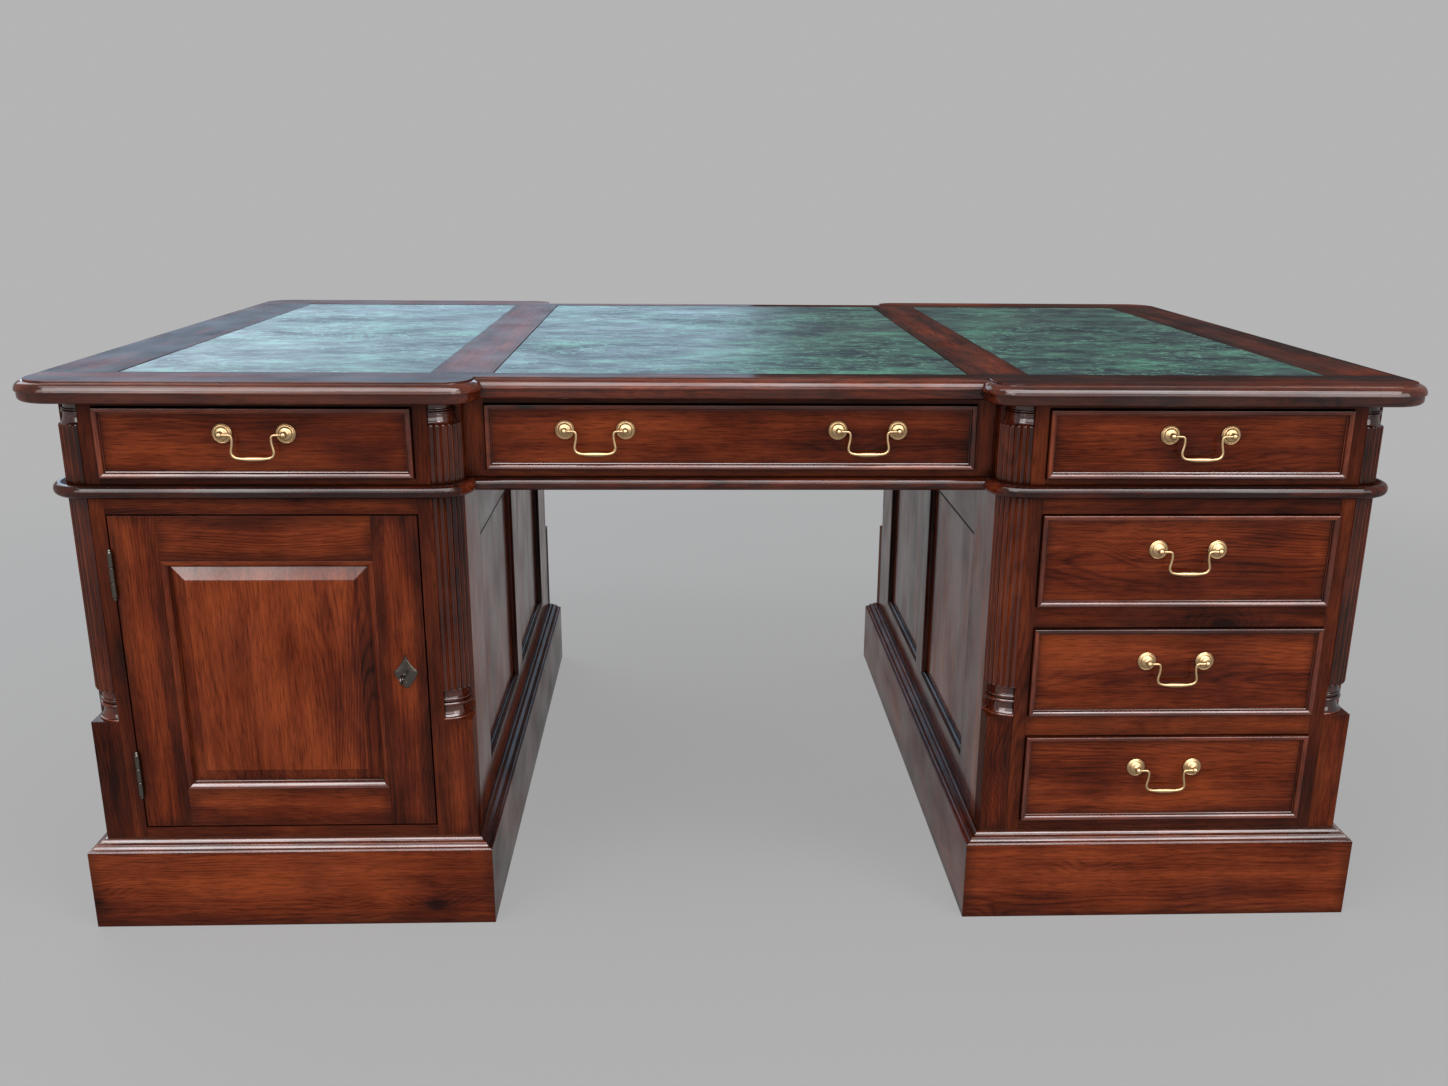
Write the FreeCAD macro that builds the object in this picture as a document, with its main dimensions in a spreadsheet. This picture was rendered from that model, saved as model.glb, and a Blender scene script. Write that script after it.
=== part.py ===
import FreeCAD, Part
import math
import os
import Sketcher

# A partners desk: a breakfront top with three leather insets, a frieze of drawers on two pedestals,
# and the same fittings on both long sides, so that two people can sit face to face.
# Millimetres. The origin lies on the floor under the middle, +X runs along the desk to the right of
# the first partner, +Y runs away from that partner, +Z is up. The second partner's side is the first
# one's, turned half way round the Z axis.

doc = FreeCAD.newDocument("PartnersDesk")

SIZES = {
    # the desk as a whole
    "desk_width": "1850",
    "desk_depth": "1220",
    "desk_height": "780",
    "end_overhang": "39",
    "front_overhang": "44",
    "break_recess": "55",
    "pedestal_width": "524",
    # the slab of the top
    "slab_thick": "28",
    "slab_corner": "60",
    "slab_quirk": "12",
    "slab_ovolo": "11.5",
    "slab_step": "2.5",
    "slab_lower": "13",
    "slab_under_round": "6",
    "break_radius": "50",
    "break_in": "34",
    "end_rail": "112",
    "divider_rail": "82",
    "front_rail": "105",
    "leather_in": "42",
    "leather_thick": "1.5",
    "leather_sunk": "0.5",
    # the waist moulding between frieze and pedestals
    "frieze_height": "111",
    "waist_thick": "17",
    "waist_project": "17",
    "waist_nose": "8",
    "waist_strip_depth": "60",
    # the carcase
    "frame_thick": "20",
    "column_radius": "38",
    "strip_width": "19",
    "board_thick": "16",
    "spine_thick": "18",
    "frieze_rail": "8",
    "drawer_rail": "30",
    "pedestal_top_rail": "23",
    "centre_stile": "28",
    "centre_lower_rail": "9",
    "centre_upper_rail": "11",
    # the fluted quarter columns
    "column_block": "177",
    "column_base": "43",
    "base_fillet": "1",
    "capital_height": "30",
    "flute_count": "7",
    "flute_radius": "3.4",
    "flute_out": "0.6",
    "cove_depth": "6",
    "cove_height": "16",
    "ring_height": "5",
    "ring_out": "2.5",
    "ring_slope": "1",
    "ring_back": "1",
    "neck_depth": "7",
    # the sunk panels of the pedestal sides
    "side_muntin": "60",
    "side_stile": "123",
    "side_top_rail": "89",
    "side_bottom_rail": "48",
    "side_panel_thick": "8",
    "side_panel_sunk": "8",
    "side_moulding": "9",
    "ovolo_flat": "2",
    # the plinths
    "plinth_board": "117",
    "plinth_moulding": "13",
    "plinth_project": "22",
    "plinth_quirk": "2.5",
    "plinth_fillet": "1",
    "plinth_top_flat": "2",
    "ogee_radius": "9",
    # the drawers
    "drawer_gap": "1.5",
    "runner_gap": "0.3",
    "drawer_side_thick": "12",
    "drawer_bottom_thick": "6",
    "drawer_bottom_up": "8",
    "drawer_side_drop": "6",
    "drawer_back_room": "51",
    "bead_width": "8",
    "bead_height": "7",
    "bead_round": "5",
    "bead_ease": "1.5",
    "runner_width": "26",
    "runner_thick": "14",
    "guide_height": "22",
    # the doors
    "door_gap": "2",
    "door_stile": "62",
    "door_top_rail": "62",
    "door_bottom_rail": "56",
    "door_moulding": "10",
    "door_panel_thick": "8",
    "door_panel_sunk": "9",
    "door_field_raise": "6",
    "door_field_margin": "30",
    "door_bevel": "9",
    # the butt hinges
    "hinge_length": "62",
    "hinge_inset": "80",
    "knuckle_radius": "4",
    "knuckle_gap": "0.3",
    "knuckle_clear": "0.3",
    "hinge_pin_radius": "1.5",
    "hinge_pin_clear": "0.06",
    "leaf_thick": "0.8",
    "leaf_width": "19",
    # the lock, escutcheon and key
    "lock_up": "233",
    "lock_in": "28",
    "escutcheon_height": "49",
    "escutcheon_width": "29",
    "escutcheon_thick": "1.5",
    "escutcheon_hollow": "34",
    "lock_case_width": "48",
    "lock_case_height": "60",
    "lock_case_thick": "12",
    "lock_wall": "1.5",
    "bolt_width": "14",
    "bolt_thick": "5",
    "bolt_length": "34",
    "bolt_up": "12",
    "bolt_clear": "0.2",
    "key_radius": "2.2",
    "key_clear": "0.08",
    "key_way_radius": "4.4",
    "key_out": "24",
    "key_bow_width": "20",
    "key_bow_height": "14",
    "key_bow_bar": "3",
    "key_bow_thick": "2.6",
    "key_bit_long": "7",
    "key_bit_thick": "2",
    # the swan-neck handles
    "post_spacing": "82",
    "rosette_radius": "13",
    "rosette_rim": "1.8",
    "rosette_boss_radius": "8.5",
    "rosette_boss": "4.2",
    "post_radius": "2.6",
    "post_head_radius": "4",
    "bail_stand": "14",
    "bail_radius": "1.7",
    "bail_clear": "0.08",
    "pin_past": "0.5",
    "bail_neck_half": "25",
    "bail_foot_half": "28.5",
    "bail_drop": "31",
    "bail_bend": "3",
    "bail_grip_radius": "2.5",
    "bail_grip_half": "15",
    "frieze_pull_up": "12.5",
    "centre_pull_up": "9.5",
    "centre_pull_in": "149",
    "pedestal_pull_up": "16",
}

sheet = doc.addObject("Spreadsheet::Sheet", "Sizes")
for row, (alias, number) in enumerate(SIZES.items(), start=1):
    sheet.set("A%d" % row, alias)
    sheet.set("B%d" % row, number)
    sheet.setAlias("B%d" % row, alias)
doc.recompute()


class Length:
    """A length with the spreadsheet expression that it comes from, so sums of sizes stay bound."""

    def __init__(self, text, value):
        self.text = text
        self.value = float(value)

    @staticmethod
    def of(thing):
        return thing if isinstance(thing, Length) else Length(repr(thing), thing)

    def __add__(self, other):
        other = Length.of(other)
        return Length("(%s + %s)" % (self.text, other.text), self.value + other.value)

    def __radd__(self, other):
        return Length.of(other) + self

    def __sub__(self, other):
        other = Length.of(other)
        return Length("(%s - %s)" % (self.text, other.text), self.value - other.value)

    def __rsub__(self, other):
        return Length.of(other) - self

    def __mul__(self, other):
        other = Length.of(other)
        return Length("(%s * %s)" % (self.text, other.text), self.value * other.value)

    __rmul__ = __mul__

    def __truediv__(self, other):
        other = Length.of(other)
        return Length("(%s / %s)" % (self.text, other.text), self.value / other.value)

    def __neg__(self):
        return Length("(0 - %s)" % self.text, -self.value)


class Bound:
    """Gives each driving dimension as a Length: size.desk_width and so on."""

    def __getattr__(self, alias):
        return Length("Sizes." + alias, sheet.get(alias))


size = Bound()
ZERO = Length.of(0)
X_AXIS = FreeCAD.Vector(1, 0, 0)
Y_AXIS = FreeCAD.Vector(0, 1, 0)
Z_AXIS = FreeCAD.Vector(0, 0, 1)
QUARTER_TURN = FreeCAD.Rotation(Z_AXIS, 90)
QUARTER_BACK = FreeCAD.Rotation(Z_AXIS, -90)
HALF_TURN = FreeCAD.Rotation(Z_AXIS, 180)
# What is drawn flat in XY stands up with its face towards the first partner, or to either end.
FACING_FRONT = FreeCAD.Rotation(X_AXIS, 90)
FACING_RIGHT = QUARTER_TURN * FACING_FRONT
FACING_LEFT = QUARTER_BACK * FACING_FRONT
ALONG_X = FreeCAD.Rotation(Y_AXIS, 90)
ALONG_BACK = FreeCAD.Rotation(X_AXIS, -90)


# ---------------------------------------------------------------- ways of making pieces

def bind(thing, prop, length):
    thing.setExpression(prop, Length.of(length).text)


def board(name, x, y, z):
    """A plain board between two bounds on each axis."""
    piece = doc.addObject("Part::Box", name)
    for prop, axis, (low, high) in (("Length", "x", x), ("Width", "y", y), ("Height", "z", z)):
        bind(piece, prop, Length.of(high) - low)
        bind(piece, "Placement.Base." + axis, low)
    return piece


def put(piece, place, turn=None):
    """Gives a piece its turn and its place."""
    piece.Placement = FreeCAD.Placement(FreeCAD.Vector(0, 0, 0), turn or FreeCAD.Rotation())
    for word, length in zip("xyz", place):
        bind(piece, "Placement.Base." + word, length)
    return piece


def round_bar(name, radius, length, place, turn=None):
    """A cylinder that starts at a place and runs along Z, or along Z turned."""
    piece = doc.addObject("Part::Cylinder", name)
    bind(piece, "Radius", radius)
    bind(piece, "Height", length)
    return put(piece, place, turn)


def group(name, pieces):
    """Several pieces under one name, each still a solid of its own."""
    whole = doc.addObject("Part::Compound", name)
    whole.Links = pieces
    return whole


def copy_at(name, piece, place, turn=None):
    return put(group(name, [piece]), place, turn)


def turned(piece):
    """The same piece on the second partner's side."""
    return copy_at(piece.Name + "_turned", piece, (ZERO, ZERO, ZERO), HALF_TURN)


def cut(name, base, tool):
    piece = doc.addObject("Part::Cut", name)
    piece.Base = base
    piece.Tool = tool
    return piece


def fuse(name, pieces):
    piece = doc.addObject("Part::MultiFuse", name)
    piece.Shapes = pieces
    return piece


def common(name, base, tool):
    piece = doc.addObject("Part::Common", name)
    piece.Base = base
    piece.Tool = tool
    return piece


def new_body(name):
    return doc.addObject("PartDesign::Body", name)


def arc_between(start, end, radius, side):
    """The short arc from start to end that turns to the left or to the right."""
    chord = end - start
    middle = (start + end) * 0.5
    reach = math.sqrt(max(radius ** 2 - (chord.Length / 2) ** 2, 0))
    normal = FreeCAD.Vector(-chord.y, chord.x, 0).normalize()
    if side == "right":
        normal = -normal
    centre = middle + normal * reach
    first, last = (start, end) if side == "left" else (end, start)
    begin = math.atan2(first.y - centre.y, first.x - centre.x)
    finish = math.atan2(last.y - centre.y, last.x - centre.x)
    if finish < begin:
        finish += 2 * math.pi
    return Part.ArcOfCircle(Part.Circle(centre, FreeCAD.Vector(0, 0, 1), radius), begin, finish)


def sketch_on(body, name, role, lift=None):
    """An empty sketch on one of the body's own planes, lifted off it by a length."""
    sketch = body.newObject("Sketcher::SketchObject", name)
    plane = [item for item in body.Origin.OriginFeatures if item.Role == role][0]
    sketch.AttachmentSupport = [(plane, "")]
    sketch.MapMode = "FlatFace"
    if lift is not None:
        bind(sketch, "AttachmentOffset.Base.z", lift)
    return sketch


def pin_point(sketch, edge, end, point):
    """Holds one end of an edge at a point given by two lengths."""
    for kind, length in zip(("DistanceX", "DistanceY"), point):
        length = Length.of(length)
        number = sketch.addConstraint(Sketcher.Constraint(kind, -1, 1, edge, end, length.value))
        sketch.setExpression("Constraints[%d]" % number, length.text)


def draw(sketch, points, closed=True):
    """Draws an outline through points (x, y) or, where an arc leads to one, (x, y, radius, side)."""
    corners = [FreeCAD.Vector(Length.of(p[0]).value, Length.of(p[1]).value, 0) for p in points]
    count = len(points)
    runs = count if closed else count - 1
    ends = []
    for index in range(runs):
        target = points[(index + 1) % count]
        start, end = corners[index], corners[(index + 1) % count]
        if len(target) == 2:
            edge = sketch.addGeometry(Part.LineSegment(start, end))
            ends.append((edge, 1, 2))
            continue
        radius = Length.of(target[2])
        edge = sketch.addGeometry(arc_between(start, end, radius.value, target[3]))
        ends.append((edge, 1, 2) if target[3] == "left" else (edge, 2, 1))
        number = sketch.addConstraint(Sketcher.Constraint("Radius", edge, radius.value))
        sketch.setExpression("Constraints[%d]" % number, radius.text)
    for index in range(runs):
        following = (index + 1) % runs
        if closed or following:
            sketch.addConstraint(Sketcher.Constraint(
                "Coincident", ends[index][0], ends[index][2], ends[following][0], ends[following][1]))
    for index in range(runs):
        pin_point(sketch, ends[index][0], ends[index][1], points[index])
    if not closed:
        pin_point(sketch, ends[-1][0], ends[-1][2], points[-1])


def draw_circle(sketch, centre, radius):
    radius = Length.of(radius)
    place = FreeCAD.Vector(Length.of(centre[0]).value, Length.of(centre[1]).value, 0)
    edge = sketch.addGeometry(Part.Circle(place, FreeCAD.Vector(0, 0, 1), radius.value))
    number = sketch.addConstraint(Sketcher.Constraint("Radius", edge, radius.value))
    sketch.setExpression("Constraints[%d]" % number, radius.text)
    pin_point(sketch, edge, 3, centre)


def pad(body, name, sketch, length, both_ways=False):
    feature = body.newObject("PartDesign::Pad", name)
    feature.Profile = sketch
    feature.Midplane = both_ways
    bind(feature, "Length", length)
    return feature


def revolve(body, name, sketch, angle):
    feature = body.newObject("PartDesign::Revolution", name)
    feature.Profile = sketch
    feature.ReferenceAxis = (sketch, ["V_Axis"])
    feature.Angle = angle
    return feature


def mitred_strip(name, profile, length, inward):
    """A moulding along X, mitred at both ends, its outer edge on the X axis and its inner edge at
    +Y; the profile's points are (distance in, height)."""
    body = new_body(name)
    section = sketch_on(body, name + "_section", "YZ_Plane")
    draw(section, profile)
    pad(body, name + "_run", section, length, both_ways=True)
    doc.recompute()
    waste = sketch_on(body, name + "_waste", "XY_Plane")
    half = Length.of(length) / 2
    draw(waste, [(half, ZERO), (half + inward, ZERO), (half + inward, inward), (half - inward, inward)])
    draw(waste, [(-half, ZERO), (inward - half, inward), (-half - inward, inward), (-half - inward, ZERO)])
    mitre = body.newObject("PartDesign::Pocket", name + "_mitre")
    mitre.Profile = waste
    mitre.Type = "ThroughAll"
    mitre.Midplane = True
    return body


def mitred_frame(name, profile, inward, width, height):
    """Four mitred strips round a rectangle centred on the origin in the XY plane."""
    sill = mitred_strip(name + "_sill", profile, width, inward)
    jamb = mitred_strip(name + "_jamb", profile, height, inward)
    out = Length.of(width) / 2
    up = Length.of(height) / 2
    return [
        copy_at(name + "_low", sill, (ZERO, -up, ZERO)),
        copy_at(name + "_high", sill, (ZERO, up, ZERO), HALF_TURN),
        copy_at(name + "_right", jamb, (out, ZERO, ZERO), QUARTER_TURN),
        copy_at(name + "_left", jamb, (-out, ZERO, ZERO), QUARTER_BACK),
    ]


# ---------------------------------------------------------------- levels and lines of the carcase

half_width = size.desk_width / 2
half_depth = size.desk_depth / 2
end_x = half_width - size.end_overhang
face_y = -(half_depth - size.front_overhang)
centre_face_y = face_y + size.break_recess
knee_x = end_x - size.pedestal_width
pedestal_x = end_x - size.pedestal_width / 2

plinth_top = size.plinth_board + size.plinth_moulding
slab_under = size.desk_height - size.slab_thick
waist_top = slab_under - size.frieze_height
waist_under = waist_top - size.waist_thick

column_in_x = knee_x + size.column_radius
column_out_x = end_x - size.column_radius
column_y = face_y + size.column_radius
opening_low_x = column_in_x + size.strip_width
opening_high_x = column_out_x - size.strip_width
face_back_y = face_y + size.frame_thick
centre_back_y = centre_face_y + size.frame_thick
side_in_x = end_x - size.frame_thick
knee_in_x = knee_x + size.frame_thick

frieze_low = waist_top + size.frieze_rail
frieze_high = slab_under - size.frieze_rail
centre_low = waist_top + size.centre_lower_rail
centre_high = slab_under - size.centre_upper_rail
centre_half = knee_x - size.centre_stile
floor_top = plinth_top + size.board_thick
door_high = waist_under - size.pedestal_top_rail
drawer_opening = (door_high - floor_top - size.drawer_rail * 2) / 3


# ---------------------------------------------------------------- the top

def slab_outline(inset):
    """The breakfront outline, each edge moved in by an inset; the arcs keep their centres."""
    x = half_width - inset
    y = half_depth - inset
    corner_x = half_width - size.slab_corner
    corner_y = half_depth - size.slab_corner
    corner_radius = size.slab_corner - inset
    break_x = knee_x - size.break_in + inset
    break_radius = size.break_radius - inset
    break_start = knee_x - size.break_in + size.break_radius
    break_end = half_depth - size.break_radius
    centre_y = half_depth - size.break_recess - inset
    quarter = [
        (corner_x, y, corner_radius, "left"), (break_start, y),
        (break_x, break_end, break_radius, "left"), (break_x, centre_y),
    ]
    opposite = [
        (-break_x, centre_y), (-break_x, break_end), (-break_start, y, break_radius, "left"),
        (-corner_x, y), (-x, corner_y, corner_radius, "left"),
    ]
    back = [(x, corner_y)] + quarter + opposite
    front = [(-point[0], -point[1]) + tuple(point[2:]) for point in back]
    return back + front


def slab_layer(name, inset, low, high):
    body = new_body(name)
    outline = sketch_on(body, name + "_outline", "XY_Plane", low)
    draw(outline, slab_outline(inset))
    pad(body, name + "_thickness", outline, high - low)
    return body


def rounded_edges(body, name, radius, level):
    """Rounds every edge of a body's outline at one level."""
    doc.recompute()
    base = body.Tip
    edges = []
    for number, edge in enumerate(base.Shape.Edges, start=1):
        box = edge.BoundBox
        if abs(box.ZMin - level.value) < 0.01 and abs(box.ZMax - level.value) < 0.01:
            edges.append("Edge%d" % number)
    feature = body.newObject("PartDesign::Fillet", name)
    feature.Base = (base, edges)
    bind(feature, "Radius", radius)
    return feature


def moulded_slab():
    """Three layers: a rounded lower edge, an ovolo above it, and the flat top within its quirk."""
    step_level = slab_under + size.slab_lower
    quirk_level = size.desk_height - size.slab_step
    lower = slab_layer("slab_lower_layer", size.slab_step, slab_under, step_level)
    rounded_edges(lower, "slab_under_edge", size.slab_under_round, slab_under)
    middle = slab_layer("slab_ovolo_layer", ZERO, step_level, quirk_level)
    rounded_edges(middle, "slab_ovolo", size.slab_ovolo, quirk_level)
    upper = slab_layer("slab_upper_layer", size.slab_quirk, quirk_level, size.desk_height)
    return fuse("slab", [lower, middle, upper])


slab = moulded_slab()
rail_y = half_depth - size.front_rail
side_leather_x = half_width - size.end_rail
centre_leather_x = knee_x - size.leather_in
divider_x = centre_leather_x + size.divider_rail
rail_region_z = (slab_under - size.slab_thick, size.desk_height + size.slab_thick)

front_rail_region = board(
    "front_rail_region", (-half_width, half_width), (-half_depth, -rail_y), rail_region_z)
front_slab_rail = common("front_slab_rail", slab, front_rail_region)
end_rail_region = board(
    "end_rail_region", (side_leather_x, half_width), (-rail_y, rail_y), rail_region_z)
end_slab_rail = common("end_slab_rail", slab, end_rail_region)
divider_slab_rail = board(
    "divider_slab_rail", (centre_leather_x, divider_x), (-rail_y, rail_y),
    (slab_under, size.desk_height))
rails = [front_slab_rail, end_slab_rail, divider_slab_rail]
top_frame = group("top_frame", rails + [turned(rail) for rail in rails])

leather_top = size.desk_height - size.leather_sunk
leather_under = leather_top - size.leather_thick
bays = {
    "left": (-side_leather_x, -divider_x),
    "centre": (-centre_leather_x, centre_leather_x),
    "right": (divider_x, side_leather_x),
}
top_boards = group("top_boards", [
    board(bay + "_top_board", span, (-rail_y, rail_y), (slab_under, leather_under))
    for bay, span in bays.items()])
leather_insets = group("leather_insets", [
    board(bay + "_leather", span, (-rail_y, rail_y), (leather_under, leather_top))
    for bay, span in bays.items()])


# ---------------------------------------------------------------- the waist moulding

def waist_board():
    """The board on a pedestal, its half-round nose running past the columns in the same sweep."""
    out = size.waist_project
    radius = size.column_radius + out
    x_low, x_high = knee_x - out, end_x + out
    y_end = -face_y + out
    body = new_body("waist_board")
    outline = sketch_on(body, "waist_outline", "XY_Plane", waist_under)
    draw(outline, [
        (x_low + radius, -y_end, radius, "left"), (x_high - radius, -y_end),
        (x_high, radius - y_end, radius, "left"), (x_high, y_end - radius),
        (x_high - radius, y_end, radius, "left"), (x_low + radius, y_end),
        (x_low, y_end - radius, radius, "left"), (x_low, radius - y_end),
    ])
    pad(body, "waist_thickness", outline, size.waist_thick)
    rounded_edges(body, "waist_nose_low", size.waist_nose, waist_under)
    rounded_edges(body, "waist_nose_high", size.waist_nose, waist_top)
    return body


def waist_strip():
    """The run under the centre drawer, with the same nose."""
    front = centre_face_y - size.waist_project
    back = front + size.waist_strip_depth
    nose = size.waist_nose
    body = new_body("waist_strip_run")
    section = sketch_on(body, "waist_strip_section", "YZ_Plane")
    draw(section, [
        (back, waist_under), (back, waist_top), (front + nose, waist_top),
        (front, waist_top - nose, nose, "left"), (front, waist_under + nose),
        (front + nose, waist_under, nose, "left"),
    ])
    pad(body, "waist_strip_length", section, knee_x * 2, both_ways=True)
    return body


right_waist_board = waist_board()
left_waist_board = turned(right_waist_board)
coping = fuse("waist_coping", [right_waist_board, left_waist_board])
front_waist_strip = cut("front_waist_strip", waist_strip(), coping)
waist_moulding = group("waist_moulding", [
    right_waist_board, left_waist_board, front_waist_strip, turned(front_waist_strip)])


# ---------------------------------------------------------------- the fluted quarter columns

def cosine(degrees):
    return Length("cos(%s * 1 deg)" % degrees.text, math.cos(math.radians(degrees.value)))


def sine(degrees):
    return Length("sin(%s * 1 deg)" % degrees.text, math.sin(math.radians(degrees.value)))


def turned_quarter(body, name, profile):
    """A quarter of a turning between +X and +Y, from a profile of (radius, height)."""
    section = sketch_on(body, name + "_profile", "XZ_Plane")
    draw(section, profile)
    return revolve(body, name + "_turning", section, 90)


def flutes(body, name, low, high):
    """Hollow flutes, evenly spaced over the quarter, cut from one level to another."""
    step = Length.of(90) / size.flute_count
    first = step / 2
    reach = size.column_radius + size.flute_out
    section = sketch_on(body, name + "_flute_section", "XY_Plane", low)
    draw_circle(section, (cosine(first) * reach, sine(first) * reach), size.flute_radius)
    flute = body.newObject("PartDesign::Pocket", name + "_flute")
    flute.Profile = section
    flute.Type = "Length"
    flute.Reversed = True
    bind(flute, "Length", high - low)
    doc.recompute()
    pattern = body.newObject("PartDesign::PolarPattern", name + "_flutes")
    pattern.Originals = [flute]
    axis = [item for item in body.Origin.OriginFeatures if item.Role == "Z_Axis"][0]
    pattern.Axis = (axis, [""])
    bind(pattern, "Occurrences", size.flute_count)
    bind(pattern, "Angle", step * (size.flute_count - 1))
    body.Tip = pattern


def rings(low):
    """Two turned rings above a cove, each sloping back to the neck, the upper one smaller."""
    neck = size.column_radius - size.neck_depth
    lower = size.column_radius - size.cove_depth + size.ring_out
    upper = lower - size.ring_back
    pitch = size.ring_height + size.ring_slope * 2
    points = []
    for radius, level in ((lower, low), (upper, low + pitch)):
        points += [
            (radius, level), (radius, level + size.ring_height),
            (neck, level + size.ring_height + size.ring_slope), (neck, low + pitch),
        ]
    return points[:-1]


def pedestal_column():
    """A square block, a cove and two rings, and the fluted shaft above them."""
    radius = size.column_radius
    block = size.column_block
    shaft = block + size.column_base
    height = waist_under - plinth_top
    cove_low = block + size.base_fillet
    cove_top = cove_low + size.cove_height
    body = new_body("pedestal_column")
    turned_quarter(body, "pedestal_column", [
        (ZERO, block), (radius, block), (radius, cove_low),
        (radius - size.cove_depth, cove_top, size.cove_height, "right"),
        *rings(cove_top),
        (radius - size.neck_depth, shaft), (radius, shaft), (radius, height), (ZERO, height),
    ])
    footing = sketch_on(body, "column_block_section", "XY_Plane")
    draw(footing, [(ZERO, ZERO), (radius, ZERO), (radius, radius), (ZERO, radius)])
    pad(body, "column_block", footing, block)
    flutes(body, "pedestal_column", shaft, height)
    return body


def frieze_column():
    """The same shaft carried on through the frieze to a capital of a cove, two rings and a neck."""
    radius = size.column_radius
    lip = size.frieze_height - size.capital_height
    cove_top = lip + size.cove_height
    body = new_body("frieze_column")
    turned_quarter(body, "frieze_column", [
        (ZERO, ZERO), (radius, ZERO), (radius, lip),
        (radius - size.cove_depth, cove_top, size.cove_height, "right"),
        *rings(cove_top),
        (radius - size.neck_depth, size.frieze_height), (ZERO, size.frieze_height),
    ])
    flutes(body, "frieze_column", ZERO, size.frieze_height)
    return body


def at_corners(name, column, level):
    """A column at each corner of the right pedestal, its round side outwards."""
    corners = [
        ("outer_front", column_out_x, column_y, QUARTER_BACK),
        ("inner_front", column_in_x, column_y, HALF_TURN),
        ("inner_back", column_in_x, -column_y, QUARTER_TURN),
        ("outer_back", column_out_x, -column_y, None),
    ]
    return [copy_at(name + "_" + corner, column, (x, y, level), turn) for corner, x, y, turn in corners]


columns = at_corners("pedestal_column", pedestal_column(), plinth_top)
columns += at_corners("frieze_column", frieze_column(), waist_top)
quarter_columns = group("quarter_columns", columns + [turned(column) for column in columns])


# ---------------------------------------------------------------- the frieze

def beside(piece):
    """The same piece at the other pedestal, where it stands the same way round."""
    return copy_at(piece.Name + "_beside", piece, (-pedestal_x * 2, ZERO, ZERO))


def face_pieces(name, low, high, openings):
    """The two strips beside the columns and the rails between the openings of one face."""
    face = (face_y, face_back_y)
    pieces = [
        board(name + "_inner_strip", (column_in_x, opening_low_x), face, (low, high)),
        board(name + "_outer_strip", (opening_high_x, column_out_x), face, (low, high)),
    ]
    level = low
    for index, (bottom, top) in enumerate(list(openings) + [(high, high)]):
        rail = board("%s_rail_%d" % (name, index + 1), (opening_low_x, opening_high_x), face, (level, bottom))
        pieces.append(rail)
        level = top
    return pieces


frieze_face = group("frieze_face", face_pieces(
    "frieze", waist_top, slab_under, [(frieze_low, frieze_high)]))
frieze_z = (waist_top, slab_under)
centre_face = (centre_face_y, centre_back_y)
column_span = (column_y, -column_y)
centre_pieces = [
    board("centre_stile_right", (centre_half, knee_x), centre_face, frieze_z),
    board("centre_stile_left", (-knee_x, -centre_half), centre_face, frieze_z),
    board("centre_lower_rail", (-centre_half, centre_half), centre_face, (waist_top, centre_low)),
    board("centre_upper_rail", (-centre_half, centre_half), centre_face, (centre_high, slab_under)),
]
frieze_front = [frieze_face, beside(frieze_face)] + centre_pieces
frieze_end = board("frieze_end", (side_in_x, end_x), column_span, frieze_z)
frieze_partition = board("frieze_partition", (knee_x, knee_in_x), column_span, frieze_z)
frieze_half = frieze_front + [frieze_end, frieze_partition]
frieze_frame = group("frieze_frame", frieze_half + [turned(piece) for piece in frieze_half])


# ---------------------------------------------------------------- the pedestals

panel_end_y = -column_y - size.side_stile
panel_low = plinth_top + size.side_bottom_rail
panel_high = waist_under - size.side_top_rail
muntin_half = size.side_muntin / 2
pedestal_z = (plinth_top, waist_under)


def side_frame(name, x):
    """Stiles, rails and a middle muntin round the two panels of one pedestal side."""
    across = (-panel_end_y, panel_end_y)
    return [
        board(name + "_front_stile", x, (column_y, -panel_end_y), pedestal_z),
        board(name + "_back_stile", x, (panel_end_y, -column_y), pedestal_z),
        board(name + "_lower_rail", x, across, (plinth_top, panel_low)),
        board(name + "_upper_rail", x, across, (panel_high, waist_under)),
        board(name + "_muntin", x, (-muntin_half, muntin_half), (panel_low, panel_high)),
    ]


side_frames = side_frame("outer_side", (side_in_x, end_x)) + side_frame("knee_side", (knee_x, knee_in_x))
pedestal_side_frames = group("pedestal_side_frames", side_frames + [turned(piece) for piece in side_frames])

panel_spans = {"front": (-panel_end_y, -muntin_half), "back": (muntin_half, panel_end_y)}
outer_panel_x = end_x - size.side_panel_sunk
knee_panel_x = knee_x + size.side_panel_sunk
side_panels = []
side_mouldings = []
side_ovolo_radius = size.side_moulding - size.ovolo_flat
side_ovolo = [
    (ZERO, ZERO), (size.side_moulding, ZERO), (size.side_moulding, size.side_panel_sunk - side_ovolo_radius),
    (size.side_moulding - side_ovolo_radius, size.side_panel_sunk, side_ovolo_radius, "left"),
    (ZERO, size.side_panel_sunk),
]
panel_ring = mitred_frame(
    "side_ring", side_ovolo, size.side_moulding, panel_end_y - muntin_half, panel_high - panel_low)
panel_middle_z = (panel_low + panel_high) / 2
for place, (front_y, back_y) in panel_spans.items():
    middle_y = (front_y + back_y) / 2
    side_panels.append(board(
        place + "_outer_panel", (outer_panel_x - size.side_panel_thick, outer_panel_x),
        (front_y, back_y), (panel_low, panel_high)))
    side_panels.append(board(
        place + "_knee_panel", (knee_panel_x, knee_panel_x + size.side_panel_thick),
        (front_y, back_y), (panel_low, panel_high)))
    outer_ring = group(place + "_outer_ring", panel_ring)
    side_mouldings.append(put(outer_ring, (outer_panel_x, middle_y, panel_middle_z), FACING_RIGHT))
    knee_ring = group(place + "_knee_ring", panel_ring)
    side_mouldings.append(put(knee_ring, (knee_panel_x, middle_y, panel_middle_z), FACING_LEFT))
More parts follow.
